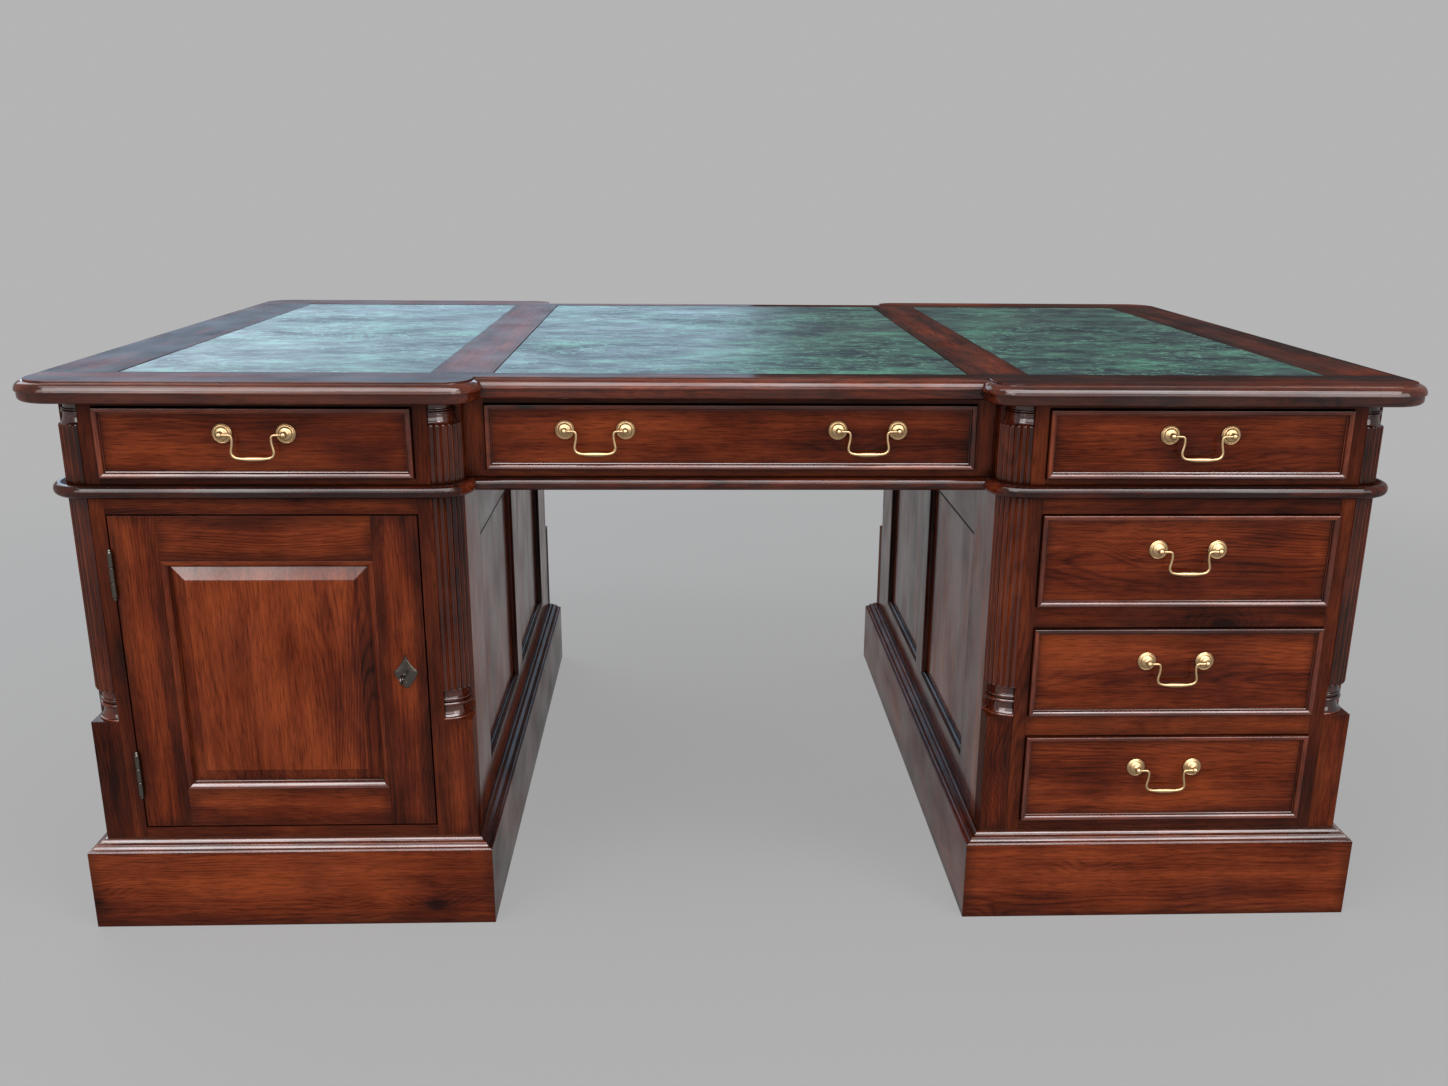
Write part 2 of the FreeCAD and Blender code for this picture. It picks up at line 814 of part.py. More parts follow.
pedestal_side_panels = group("pedestal_side_panels", side_panels + [turned(piece) for piece in side_panels])
side_panel_mouldings = group(
    "side_panel_mouldings", side_mouldings + [turned(piece) for piece in side_mouldings])

drawer_levels = []
for index in range(3):
    low = floor_top + (drawer_opening + size.drawer_rail) * index
    drawer_levels.append((low, low + drawer_opening))
drawer_face = group("drawer_face", face_pieces("drawer_face", plinth_top, waist_under, drawer_levels))
door_face = beside(group("door_face", face_pieces(
    "door_face", plinth_top, waist_under, [(floor_top, door_high)])))
pedestal_face_frames = group("pedestal_face_frames", [
    drawer_face, door_face, turned(drawer_face), turned(door_face)])

spine_half = size.spine_thick / 2
spine_y = (-spine_half, spine_half)
inside_x = (knee_in_x, side_in_x)
floor_z = (plinth_top, floor_top)
pedestal_floor = fuse("pedestal_floor", [
    board("floor_between_columns", (column_in_x, column_out_x), (face_back_y, -face_back_y), floor_z),
    board("floor_between_sides", inside_x, column_span, floor_z),
])
boards = [
    pedestal_floor,
    board("pedestal_spine", inside_x, spine_y, (floor_top, waist_under)),
    board("frieze_spine", inside_x, spine_y, frieze_z),
]
centre_boards = [
    board("centre_dust_board", (-knee_x, knee_x), (centre_back_y, -centre_back_y), (waist_top, centre_low)),
    board("centre_spine", (-knee_x, knee_x), spine_y, (centre_low, slab_under)),
]
carcase_boards = group("carcase_boards", boards + [turned(piece) for piece in boards] + centre_boards)


# ---------------------------------------------------------------- the runners

def runner_pair(name, level, thick):
    """Two runners that carry a drawer's sides, each with a guide standing on it."""
    run_y = (face_back_y, -spine_half)
    guide_y = (column_y, -spine_half)
    guide_z = (level, level + size.guide_height)
    inner_end = opening_low_x + size.runner_width
    outer_end = opening_high_x - size.runner_width
    pieces = [
        board(name + "_inner_guide", (knee_in_x, opening_low_x), guide_y, guide_z),
        board(name + "_outer_guide", (opening_high_x, side_in_x), guide_y, guide_z),
    ]
    if thick is not None:
        runner_z = (level - thick, level)
        pieces.append(board(name + "_inner_runner", (column_in_x, inner_end), run_y, runner_z))
        pieces.append(board(name + "_outer_runner", (outer_end, column_out_x), run_y, runner_z))
    return pieces


pedestal_runners = runner_pair("lower", floor_top, None)
pedestal_runners += runner_pair("middle", drawer_levels[1][0], size.runner_thick)
pedestal_runners += runner_pair("upper", drawer_levels[2][0], size.runner_thick)
frieze_runners = group("frieze_runners", runner_pair("frieze", frieze_low, size.frieze_rail))
centre_guide_z = (centre_low, centre_low + size.guide_height)
centre_guide_y = (centre_back_y, -spine_half)
runners = pedestal_runners + [
    frieze_runners, beside(frieze_runners),
    board("centre_guide_right", (centre_half, knee_x), centre_guide_y, centre_guide_z),
    board("centre_guide_left", (-knee_x, -centre_half), centre_guide_y, centre_guide_z),
]
drawer_runners = group("drawer_runners", runners + [turned(piece) for piece in runners])


# ---------------------------------------------------------------- the plinths

def plinth():
    """Mitred boards with an ogee on their top edge, round a frame of bearers."""
    out = size.plinth_project
    ogee_start = size.plinth_quirk
    ogee_end = out - size.plinth_top_flat
    ogee_middle = ((ogee_start + ogee_end) / 2, size.plinth_board + size.plinth_moulding / 2)
    profile = [
        (ZERO, ZERO), (out, ZERO), (out, plinth_top), (ogee_end, plinth_top),
        (ogee_middle[0], ogee_middle[1], size.ogee_radius, "right"),
        (ogee_start, size.plinth_board + size.plinth_fillet, size.ogee_radius, "left"),
        (ogee_start, size.plinth_board), (ZERO, size.plinth_board),
    ]
    width = size.pedestal_width + out * 2
    depth = out * 2 - face_y * 2
    ring = mitred_frame("plinth_ring", profile, out, width, depth)
    skirting = put(group("plinth_skirting", ring), (pedestal_x, ZERO, ZERO))
    whole_y = (face_back_y, -face_back_y)
    high = (ZERO, plinth_top)
    bearers = [
        board("bearer_front", (knee_x, end_x), (face_y, face_back_y), high),
        board("bearer_back", (knee_x, end_x), (-face_back_y, -face_y), high),
        board("bearer_inner", (knee_x, knee_in_x), whole_y, high),
        board("bearer_outer", (side_in_x, end_x), whole_y, high),
    ]
    return [skirting] + bearers


plinth_pieces = plinth()
plinths = group("plinths", plinth_pieces + [turned(piece) for piece in plinth_pieces])


# ---------------------------------------------------------------- the drawers

def bead_profile():
    """A bead with a quarter round towards the field and an eased outer edge."""
    wide, tall, round_in = size.bead_width, size.bead_height, size.bead_round
    ease = size.bead_ease
    return [
        (ZERO, ZERO), (wide, ZERO), (wide, tall - round_in),
        (wide - round_in, tall, round_in, "left"), (ease, tall), (ZERO, tall - ease, ease, "left"),
    ]


def drawer(name, x, z, face):
    """Front, mitred beads, two sides, back and bottom, sized to its opening."""
    left, right = x[0] + size.drawer_gap, x[1] - size.drawer_gap
    low, high = z[0] + size.drawer_gap, z[1] - size.drawer_gap
    seat = z[0] + size.runner_gap
    front_back = face + size.frame_thick
    end = -spine_half - size.drawer_back_room
    thick = size.drawer_side_thick
    side_top = high - size.drawer_side_drop
    bottom_low = z[0] + size.drawer_bottom_up
    bottom_high = bottom_low + size.drawer_bottom_thick
    beads = mitred_frame(name + "_bead", bead_profile(), size.bead_width, right - left, high - low)
    surround = group(name + "_beads", beads)
    put(surround, ((left + right) / 2, face, (low + high) / 2), FACING_FRONT)
    return [
        board(name + "_front", (left, right), (face, front_back), (low, high)),
        surround,
        board(name + "_left_side", (left, left + thick), (front_back, end), (seat, side_top)),
        board(name + "_right_side", (right - thick, right), (front_back, end), (seat, side_top)),
        board(name + "_back", (left + thick, right - thick), (end - thick, end), (bottom_high, side_top)),
        board(name + "_bottom", (left + thick, right - thick), (front_back, end), (bottom_low, bottom_high)),
    ]


# ---------------------------------------------------------------- the handles

def handle_post():
    """A stepped rosette with a post whose head is bored for one end of the bail."""
    stand = size.bail_stand
    head = size.post_head_radius
    body = new_body("handle_post")
    section = sketch_on(body, "handle_post_profile", "XZ_Plane")
    draw(section, [
        (ZERO, ZERO), (size.rosette_radius, ZERO), (size.rosette_radius, size.rosette_rim),
        (size.rosette_boss_radius, size.rosette_rim), (size.rosette_boss_radius, size.rosette_boss),
        (size.post_radius, size.rosette_boss), (size.post_radius, stand - head),
        (head, stand - head), (head, stand + head), (ZERO, stand + head),
    ])
    revolve(body, "handle_post_turning", section, 360)
    bore = round_bar(
        "handle_post_bore", size.bail_radius + size.bail_clear, head * 2,
        (-size.pin_past, ZERO, stand), ALONG_X)
    return cut("bored_handle_post", body, bore)


def handle_bail():
    """A swan-neck bail of round bar, hanging from its pins, with a swelled grip."""
    half_pins = size.post_spacing / 2
    neck, foot, bend = size.bail_neck_half, size.bail_foot_half, size.bail_bend
    drop = size.bail_drop
    half_path = [
        (half_pins, ZERO), (neck + bend, ZERO), (neck, -bend), (foot, bend * 2 - drop),
        (foot - bend * 2, -drop),
    ]
    body = new_body("handle_bail")
    path = sketch_on(body, "bail_path", "XZ_Plane")
    draw(path, [(-x, z) for x, z in half_path] + half_path[::-1], closed=False)
    section = sketch_on(body, "bail_section", "YZ_Plane", -half_pins)
    draw_circle(section, (ZERO, ZERO), size.bail_radius)
    bar = body.newObject("PartDesign::AdditivePipe", "bail_bar")
    bar.Profile = section
    bar.Spine = (path, [])
    bar.Transition = "Right corner"
    grip = sketch_on(body, "bail_grip_profile", "XZ_Plane")
    half = size.bail_grip_half
    draw(grip, [
        (-half, -drop), (half, -drop), (half, size.bail_grip_radius - drop),
        (-half, size.bail_grip_radius - drop),
    ])
    swell = body.newObject("PartDesign::Revolution", "bail_grip")
    swell.Profile = grip
    swell.ReferenceAxis = (grip, ["Edge1"])
    swell.Angle = 360
    return body


post = handle_post()
bail = handle_bail()


def pull(name, x, face, z):
    """The two posts of one handle; their bores face each other."""
    half = size.post_spacing / 2
    return [
        copy_at(name + "_right_post", post, (x + half, face, z), FACING_FRONT * HALF_TURN),
        copy_at(name + "_left_post", post, (x - half, face, z), FACING_FRONT),
    ]


nodes = {}


def node(name, piece):
    """Gives a piece its node name, and makes the same node for the second partner's side."""
    for side, thing in (("front", piece), ("back", turned(piece))):
        thing.Label = side + "_" + name
        nodes[thing.Label] = thing


def fitted_drawer(name, x, z, face, pulls, up):
    """One drawer with its handles, as separate nodes that move by themselves."""
    node(name + "_drawer", group(name + "_drawer_box", drawer(name, x, z, face)))
    height = (z[0] + z[1]) / 2 + up
    posts = []
    for word, pull_x in pulls.items():
        posts += pull(name + word, pull_x, face, height)
        node(name + word + "_bail", copy_at(
            name + word + "_bail_hung", bail, (pull_x, face - size.bail_stand, height)))
    node(name + "_pull", group(name + "_posts", posts))


opening = (opening_low_x, opening_high_x)
left_opening = (-opening_high_x, -opening_low_x)
frieze_opening = (frieze_low, frieze_high)
centre_pull_x = centre_half - size.centre_pull_in
fitted_drawer("left_frieze", left_opening, frieze_opening, face_y, {"": -pedestal_x}, size.frieze_pull_up)
fitted_drawer("right_frieze", opening, frieze_opening, face_y, {"": pedestal_x}, size.frieze_pull_up)
fitted_drawer(
    "centre", (-centre_half, centre_half), (centre_low, centre_high), centre_face_y,
    {"_left": -centre_pull_x, "_right": centre_pull_x}, size.centre_pull_up)
for word, levels in zip(("lower", "middle", "upper"), drawer_levels):
    fitted_drawer(word, opening, levels, face_y, {"": pedestal_x}, size.pedestal_pull_up)


# ---------------------------------------------------------------- the doors

door_left, door_right = -opening_high_x + size.door_gap, -opening_low_x - size.door_gap
door_low, door_top = floor_top + size.door_gap, door_high - size.door_gap
lock_x = door_right - size.lock_in
lock_z = floor_top + size.lock_up
door_face_y = (face_y, face_back_y)


def door_panel(x, z):
    """A plate with a raised field, bevelled all round."""
    panel_y = face_y + size.door_panel_sunk
    plate = board("door_plate", x, (panel_y, panel_y + size.door_panel_thick), z)
    field = doc.addObject("Part::Wedge", "door_field")
    margin = size.door_field_margin
    foot = margin - size.door_bevel
    bounds = {
        "Xmin": x[0] + margin, "Xmax": x[1] - margin, "Zmin": z[0] + margin, "Zmax": z[1] - margin,
        "X2min": x[0] + foot, "X2max": x[1] - foot, "Z2min": z[0] + foot, "Z2max": z[1] - foot,
        "Ymin": panel_y - size.door_field_raise, "Ymax": panel_y,
    }
    for prop, length in bounds.items():
        bind(field, prop, length)
    return fuse("door_panel", [plate, field])


def door():
    """Two stiles, two rails, the fielded panel and the mitred ovolo that holds it."""
    left_in, right_in = door_left + size.door_stile, door_right - size.door_stile
    low_in, high_in = door_low + size.door_bottom_rail, door_top - size.door_top_rail
    lock_stile = board("lock_stile", (right_in, door_right), door_face_y, (door_low, door_top))
    key_way = round_bar(
        "key_way", size.key_way_radius, size.frame_thick, (lock_x, face_y, lock_z), ALONG_BACK)
    sunk = size.door_panel_sunk
    radius = size.door_moulding - size.ovolo_flat
    ovolo = [
        (ZERO, ZERO), (size.door_moulding, ZERO), (size.door_moulding, sunk - radius),
        (size.door_moulding - radius, sunk, radius, "left"), (ZERO, sunk),
    ]
    ring = mitred_frame("door_ring", ovolo, size.door_moulding, right_in - left_in, high_in - low_in)
    surround = put(
        group("door_surround", ring),
        ((left_in + right_in) / 2, face_y + sunk, (low_in + high_in) / 2), FACING_FRONT)
    return [
        board("hinge_stile", (door_left, left_in), door_face_y, (door_low, door_top)),
        cut("bored_lock_stile", lock_stile, key_way),
        board("door_lower_rail", (left_in, right_in), door_face_y, (door_low, low_in)),
        board("door_upper_rail", (left_in, right_in), door_face_y, (high_in, door_top)),
        door_panel((left_in, right_in), (low_in, high_in)),
        surround,
    ]


hinge_x = -opening_high_x + size.door_gap / 2
hinge_y = face_y - size.knuckle_radius - size.knuckle_clear
knuckle_length = (size.hinge_length - size.knuckle_gap * 2) / 3


def hinge_leaf(name, x, level, knuckles):
    """A leaf let into the gap, and a tab from it round each of its knuckles."""
    low = level - size.hinge_length / 2
    pieces = [board(
        name + "_plate", x, (face_y, face_y + size.leaf_width), (low, low + size.hinge_length))]
    for index in knuckles:
        start = low + (knuckle_length + size.knuckle_gap) * index
        pieces.append(round_bar(
            "%s_knuckle_%d" % (name, index), size.knuckle_radius, knuckle_length, (hinge_x, hinge_y, start)))
        pieces.append(board(
            "%s_tab_%d" % (name, index), x, (hinge_y, face_y), (start, start + knuckle_length)))
    return pieces


def hinge(name, level):
    """A butt hinge of three knuckles; the pin belongs to the leaf on the carcase."""
    low = level - size.hinge_length / 2
    fixed_x = (-opening_high_x, size.leaf_thick - opening_high_x)
    moving_x = (door_left - size.leaf_thick, door_left)
    pin = round_bar(name + "_pin", size.hinge_pin_radius, size.hinge_length, (hinge_x, hinge_y, low))
    bore = round_bar(
        name + "_bore", size.hinge_pin_radius + size.hinge_pin_clear, size.hinge_length,
        (hinge_x, hinge_y, low))
    fixed = fuse(name + "_fixed_leaf", hinge_leaf(name + "_fixed", fixed_x, level, (0, 2)) + [pin])
    moving = fuse(name + "_moving_blank", hinge_leaf(name + "_moving", moving_x, level, (1,)))
    return fixed, cut(name + "_moving_leaf", moving, bore)


lower_fixed, lower_moving = hinge("lower_hinge", door_low + size.hinge_inset)
upper_fixed, upper_moving = hinge("upper_hinge", door_top - size.hinge_inset)
fixed_leaves = [lower_fixed, upper_fixed]
fixed_hinge_leaves = group("fixed_hinge_leaves", fixed_leaves + [turned(leaf) for leaf in fixed_leaves])


def escutcheon():
    """A pointed plate with hollow sides and a hole that the key turns in."""
    body = new_body("escutcheon")
    half_wide, half_tall = size.escutcheon_width / 2, size.escutcheon_height / 2
    hollow = size.escutcheon_hollow
    outline = sketch_on(body, "escutcheon_outline", "XY_Plane")
    draw(outline, [
        (half_wide, ZERO, hollow, "right"), (ZERO, half_tall, hollow, "right"),
        (-half_wide, ZERO, hollow, "right"), (ZERO, -half_tall, hollow, "right"),
    ])
    draw_circle(outline, (ZERO, ZERO), size.key_radius + size.key_clear)
    pad(body, "escutcheon_plate", outline, size.escutcheon_thick)
    return copy_at("escutcheon_set", body, (lock_x, face_y, lock_z), FACING_FRONT)


def lock_case():
    """A tray on the back of the lock stile, with a slot in its edge for the bolt."""
    half_wide, half_tall = size.lock_case_width / 2, size.lock_case_height / 2
    back = face_back_y + size.lock_case_thick
    wall = size.lock_wall
    clear = size.bolt_clear
    case = board(
        "lock_case_block", (lock_x - half_wide, lock_x + half_wide), (face_back_y, back),
        (lock_z - half_tall, lock_z + half_tall))
    hollow = board(
        "lock_case_hollow", (lock_x - half_wide + wall, lock_x + half_wide - wall),
        (face_back_y - wall, back - wall), (lock_z - half_tall + wall, lock_z + half_tall - wall))
    slot = board(
        "lock_case_slot", (lock_x, lock_x + half_wide + wall), (bolt_y[0] - clear, bolt_y[1] + clear),
        (bolt_z[0] - clear, bolt_z[1] + clear))
    return cut("lock_case", cut("lock_case_tray", case, hollow), slot)


bolt_middle_y = face_back_y + size.lock_case_thick / 2
bolt_y = (bolt_middle_y - size.bolt_thick / 2, bolt_middle_y + size.bolt_thick / 2)
bolt_z = (lock_z + size.bolt_up - size.bolt_width / 2, lock_z + size.bolt_up + size.bolt_width / 2)
bolt_end = lock_x + size.lock_case_width / 2


def key():
    """A shank with a flat bit inside the lock and an oval bow outside."""
    body = new_body("key_bow")
    half_tall, half_long = size.key_bow_height / 2, size.key_bow_width / 2
    outline = sketch_on(body, "key_bow_outline", "YZ_Plane")
    for inset in (ZERO, size.key_bow_bar):
        radius = half_tall - inset
        straight = half_long - half_tall
        draw(outline, [
            (straight, -radius), (straight + radius, ZERO, radius, "left"),
            (straight, radius, radius, "left"), (-straight, radius),
            (-straight - radius, ZERO, radius, "left"), (-straight, -radius, radius, "left"),
        ])
    pad(body, "key_bow_plate", outline, size.key_bow_thick, both_ways=True)
    bow_y = face_y - size.key_out - half_long
    bow = copy_at("key_bow_set", body, (lock_x, bow_y, lock_z))
    shank_start = bow_y + half_long - size.key_bow_bar / 2
    shank_end = face_back_y + size.lock_case_thick - size.lock_wall * 2
    shank = round_bar(
        "key_shank", size.key_radius, shank_end - shank_start, (lock_x, shank_start, lock_z), ALONG_BACK)
    half_bit = size.key_bit_thick / 2
    bit = board(
        "key_bit", (lock_x - half_bit, lock_x + half_bit), (face_back_y + size.lock_wall, shank_end),
        (lock_z - size.key_radius - size.key_bit_long, lock_z))
    return fuse("key_whole", [bow, shank, bit])


node("door", group("door_wood", door()))
node("door_fittings", group("door_metal", [lower_moving, upper_moving, escutcheon(), lock_case()]))
node("door_bolt", board("door_bolt_bar", (bolt_end - size.bolt_length, bolt_end), bolt_y, bolt_z))
node("door_key", key())


# ---------------------------------------------------------------- checks and files

for piece in (
        top_frame, top_boards, leather_insets, waist_moulding, quarter_columns, frieze_frame,
        pedestal_side_frames, pedestal_side_panels, side_panel_mouldings, pedestal_face_frames,
        carcase_boards, drawer_runners, plinths, fixed_hinge_leaves):
    nodes[piece.Label] = piece

doc.recompute()
for thing in doc.Objects:
    if "Invalid" in thing.State or "Error" in thing.State:
        raise RuntimeError("%s didn't recompute: %s" % (thing.Label, thing.State))

os.makedirs("parts", exist_ok=True)
for label, piece in nodes.items():
    if piece.Shape.isNull() or not piece.Shape.isValid():
        raise RuntimeError(label + " has no valid shape")
    Part.makeCompound(piece.Shape.Solids).exportStep(os.path.join("parts", label + ".step"))
print("%d nodes, %d solids" % (len(nodes), sum(len(piece.Shape.Solids) for piece in nodes.values())))
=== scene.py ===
import math
import random

import bmesh
import bpy
from mathutils import Matrix, Vector


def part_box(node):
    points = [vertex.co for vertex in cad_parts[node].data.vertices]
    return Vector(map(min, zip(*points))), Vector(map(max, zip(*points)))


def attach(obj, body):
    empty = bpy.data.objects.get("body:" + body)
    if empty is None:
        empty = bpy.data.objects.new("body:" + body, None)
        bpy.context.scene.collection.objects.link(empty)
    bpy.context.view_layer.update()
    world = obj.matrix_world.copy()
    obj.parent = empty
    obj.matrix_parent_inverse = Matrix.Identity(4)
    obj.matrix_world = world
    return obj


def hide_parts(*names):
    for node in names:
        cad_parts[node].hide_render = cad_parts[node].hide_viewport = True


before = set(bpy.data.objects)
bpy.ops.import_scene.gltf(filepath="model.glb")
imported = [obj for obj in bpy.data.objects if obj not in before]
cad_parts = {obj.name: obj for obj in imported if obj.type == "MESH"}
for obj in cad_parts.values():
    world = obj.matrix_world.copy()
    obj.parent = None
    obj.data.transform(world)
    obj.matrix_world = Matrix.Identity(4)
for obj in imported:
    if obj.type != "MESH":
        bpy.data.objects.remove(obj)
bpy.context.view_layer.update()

# A partners desk in polished mahogany, built up from the floor: plinths, pedestals, columns, waist
# moulding, frieze, top, drawers, doors, brass and steel. Metres; the first partner sits on the -Y
# side, and the second partner's side is the same, turned half way round.


# ------------------------------------------------------------------ plinths
# Each pedestal stands on four mahogany boards, mitred at the corners and moulded along their top
# edge, glued round a frame of bearers that carries the pedestal.

def plug(tree, node, plugs):
    """Sets a node's inputs to values, or joins them to other nodes."""
    for key, value in plugs.items():
        if isinstance(value, bpy.types.NodeSocket):
            tree.links.new(value, node.inputs[key])
        else:
            node.inputs[key].default_value = value


def wired(tree, kind, plugs=None, **settings):
    """One node of a tree, with its settings and its inputs."""
    made = tree.nodes.new(kind)
    for key, value in settings.items():
        setattr(made, key, value)
    plug(tree, made, plugs or {})
    return made


def reckon(tree, operation, first, second=0.0, third=0.0):
    """The result of one sum in a tree."""
    plugs = {0: first, 1: second, 2: third}
    return wired(tree, "ShaderNodeMath", plugs, operation=operation).outputs[0]


def added(tree, value, times, more):
    """A value taken so many times and added to another."""
    return reckon(tree, "MULTIPLY_ADD", value, times, more)


def product(tree, first, second):
    return reckon(tree, "MULTIPLY", first, second)


def ramped(tree, value, stops):
    """A colour or a grey looked up along a ramp of (place, colour)."""
    ramp = wired(tree, "ShaderNodeValToRGB", {0: value})
    elements = ramp.color_ramp.elements
    while len(elements) < len(stops):
        elements.new(0.5)
    for element, (place, colour) in zip(elements, stops):
        element.position = place
        grey = (colour, colour, colour) if isinstance(colour, float) else colour
        element.color = (*grey, 1.0)
    return ramp.outputs["Color"]


def swelling(tree, value, low, high, at_low, at_high):
    """A value that goes softly from one level to another between two limits."""
    plugs = {0: value, 1: low, 2: high, 3: at_low, 4: at_high}
    return wired(tree, "ShaderNodeMapRange", plugs, interpolation_type="SMOOTHSTEP").outputs[0]


def blended(tree, kind, amount, first, second):
    """One colour laid over another."""
    plugs = {"Factor": amount, 6: first, 7: second}
    return wired(tree, "ShaderNodeMix", plugs, data_type="RGBA", blend_type=kind).outputs[2]


def vectors(tree, operation, *plugs):
    """The result of one sum of places."""
    return wired(tree, "ShaderNodeVectorMath", dict(enumerate(plugs)), operation=operation).outputs[0]


def noise(tree, place, scale, detail=3.0, rough=0.5):
    """Soft noise along a place that is stretched by a scale."""
    place = vectors(tree, "MULTIPLY", place, scale)
    plugs = {"Vector": place, "Scale": 1.0, "Detail": detail, "Roughness": rough}
    return wired(tree, "ShaderNodeTexNoise", plugs).outputs


def clouds(tree, place, scale, detail=3.0, rough=0.5):
    return noise(tree, place, scale, detail, rough)["Fac"]


def cells(tree, place, scale):
    """Scattered points: how far off the nearest one is, and a chance value for each."""
    return wired(tree, "ShaderNodeTexVoronoi", {"Vector": place, "Scale": scale}, feature="F1").outputs


def chance_of(tree, cell, channel):
    return wired(tree, "ShaderNodeSeparateColor", {0: cell["Color"]}).outputs[channel]


def hollows(tree, width):
    """1 in the open, and towards 0 in hollows and corners narrower than this."""
    return wired(tree, "ShaderNodeAmbientOcclusion", {"Distance": width}, samples=4).outputs["AO"]


def bumped(tree, height, strength, distance):
    plugs = {"Strength": strength, "Distance": distance, "Height": height}
    return wired(tree, "ShaderNodeBump", plugs).outputs[0]


def finish(name):
    """A new material with its tree and its shader."""
    made = bpy.data.materials.new(name)
    made.use_nodes = True
    return made, made.node_tree, made.node_tree.nodes["Principled BSDF"]


def knots(tree, grain):
    """How near a knot is, up to 1 at its heart; there are only a few in a log."""
    cell = cells(tree, vectors(tree, "MULTIPLY", grain, (5.0, 9.0, 9.0)), 1.0)
    chosen = reckon(tree, "GREATER_THAN", chance_of(tree, cell, 1), 0.58)
    return product(tree, chosen, swelling(tree, cell["Distance"], 0.0, 0.42, 1.0, 0.0))


def growth_lines(tree, grain, near, broad):
    """Fine dark lines along the log, which wander, swerve round the knots, and come and go."""
    over = wired(tree, "ShaderNodeSeparateXYZ", {0: grain}).outputs[1]
    field = added(tree, over, 3.2, added(tree, near, 0.16, broad))
    fibre = clouds(tree, grain, (3.0, 95.0, 95.0), 4.0, 0.65)
    wave = reckon(tree, "SINE", added(tree, field, 230.0, product(tree, fibre, 5.5)))
    lines = ramped(tree, added(tree, wave, 0.5, 0.5), [(0.0, 1.0), (0.34, 0.22), (1.0, 0.0)])
    some = clouds(tree, grain, (1.7, 12.0, 12.0), 2.0)
    return product(tree, lines, ramped(tree, some, [(0.40, 0.05), (0.66, 1.0)]))


def dark_rim(tree, grain, local, half):
    """Old polish left in patches along the edges of a board."""
    inset = vectors(tree, "SUBTRACT", half, vectors(tree, "ABSOLUTE", local))
    inset = wired(tree, "ShaderNodeSeparateXYZ", {0: inset}).outputs
    rim = reckon(tree, "MINIMUM", inset[0], inset[1])
    patchy = clouds(tree, grain, (18.0, 40.0, 40.0), 3.0)
    return swelling(tree, added(tree, patchy, -0.016, rim), -0.008, 0.014, 0.52, 0.0)


def specks(tree, grain):
    """1 in a small dark dent, few and far between."""
    cell = cells(tree, grain, 40.0)
    wide = product(tree, reckon(tree, "GREATER_THAN", chance_of(tree, cell, 0), 0.80), 0.045)
    return reckon(tree, "LESS_THAN", cell["Distance"], wide)


def wood(name, deep, body, pale, polish, shine, age_and_shade):
    """Mahogany: growth lines that wander round knots, stained clouds, pores, dark edges, and painted shade in
    hollows and corners.
    """
    made, tree, shader = finish(name)
    local, half, cut = (wired(tree, "ShaderNodeAttribute", attribute_name=layer).outputs["Vector"]
                        for layer in ("along_board", "board_half", "board_cut"))
    tone, gloss = (wired(tree, "ShaderNodeAttribute", attribute_name=layer).outputs["Fac"]
                   for layer in ("board_tone", "board_gloss"))
    grain = vectors(tree, "ADD", local, cut)
    near = knots(tree, grain)
    broad = clouds(tree, grain, (1.3, 7.5, 7.5), 2.0, 0.45)
    lines = growth_lines(tree, grain, near, broad)
    streaks = clouds(tree, grain, (1.5, 34.0, 34.0), 5.0, 0.62)
    stain = clouds(tree, grain, (6.0, 11.0, 11.0), 4.0, 0.60)
    dashes = clouds(tree, grain, (10.0, 290.0, 290.0), 4.0, 0.72)
    core = reckon(tree, "POWER", near, 14.0)
    figure = product(tree, broad, 0.18)
    for value, weight in (
            (streaks, 0.50), (stain, 0.50), (dashes, 0.30), (tone, 0.050), (lines, -0.095), (near, -0.06),
            (core, -0.22)):
        figure = added(tree, value, weight, figure)
    colour = ramped(tree, figure, [(0.530, deep), (0.705, body), (0.895, pale)])
    pores = clouds(tree, grain, (45.0, 700.0, 700.0), 2.0)
    colour = blended(tree, "MULTIPLY", 0.7, colour, ramped(tree, pores, [(0.32, 0.35), (0.50, 1.0)]))
    # Painted shade: the colour darkens in hollows and corners, which the same mask makes a little rougher.
    grime_and_hollow_shade = ramped(tree, hollows(tree, 0.022), [(0.35, 1.0), (0.95, 0.0)])
    rim_specks_and_hollow_shade = product(tree, reckon(tree, "MAXIMUM", dark_rim(tree, grain, local, half), grime_and_hollow_shade), age_and_shade)
    speck = specks(tree, grain)
    rim_specks_and_hollow_shade = reckon(tree, "MAXIMUM", rim_specks_and_hollow_shade, product(tree, speck, 0.7))
    smear = clouds(tree, grain, (9.0, 16.0, 16.0), 3.0)
    rough = added(tree, grime_and_hollow_shade, 0.15, added(tree, smear, 0.22, polish - 0.11))
    coat = product(tree, added(tree, gloss, shine * 6.1, shine), added(tree, smear, 1.2, 0.4))
    waves = clouds(tree, grain, (7.0, 26.0, 26.0), 2.0)
    height = added(tree, lines, -0.06, added(tree, pores, 0.10, product(tree, waves, 0.8)))
    height = reckon(tree, "SUBTRACT", height, product(tree, speck, 0.5))
    surface = bumped(tree, height, 0.35, 0.0006)
    # The base colour goes towards near-black under the old polish rim, the specks and the painted shade in
    # hollows.
    plug(tree, shader, {
        "Base Color": blended(tree, "MIX", rim_specks_and_hollow_shade, colour, (0.013, 0.0050, 0.0032, 1.0)), "Roughness": rough,
        "Specular IOR Level": 0.0, "Coat Weight": coat, "Coat Roughness": 0.12, "Coat IOR": 1.8,
        "Normal": surface, "Coat Normal": surface})
    return made


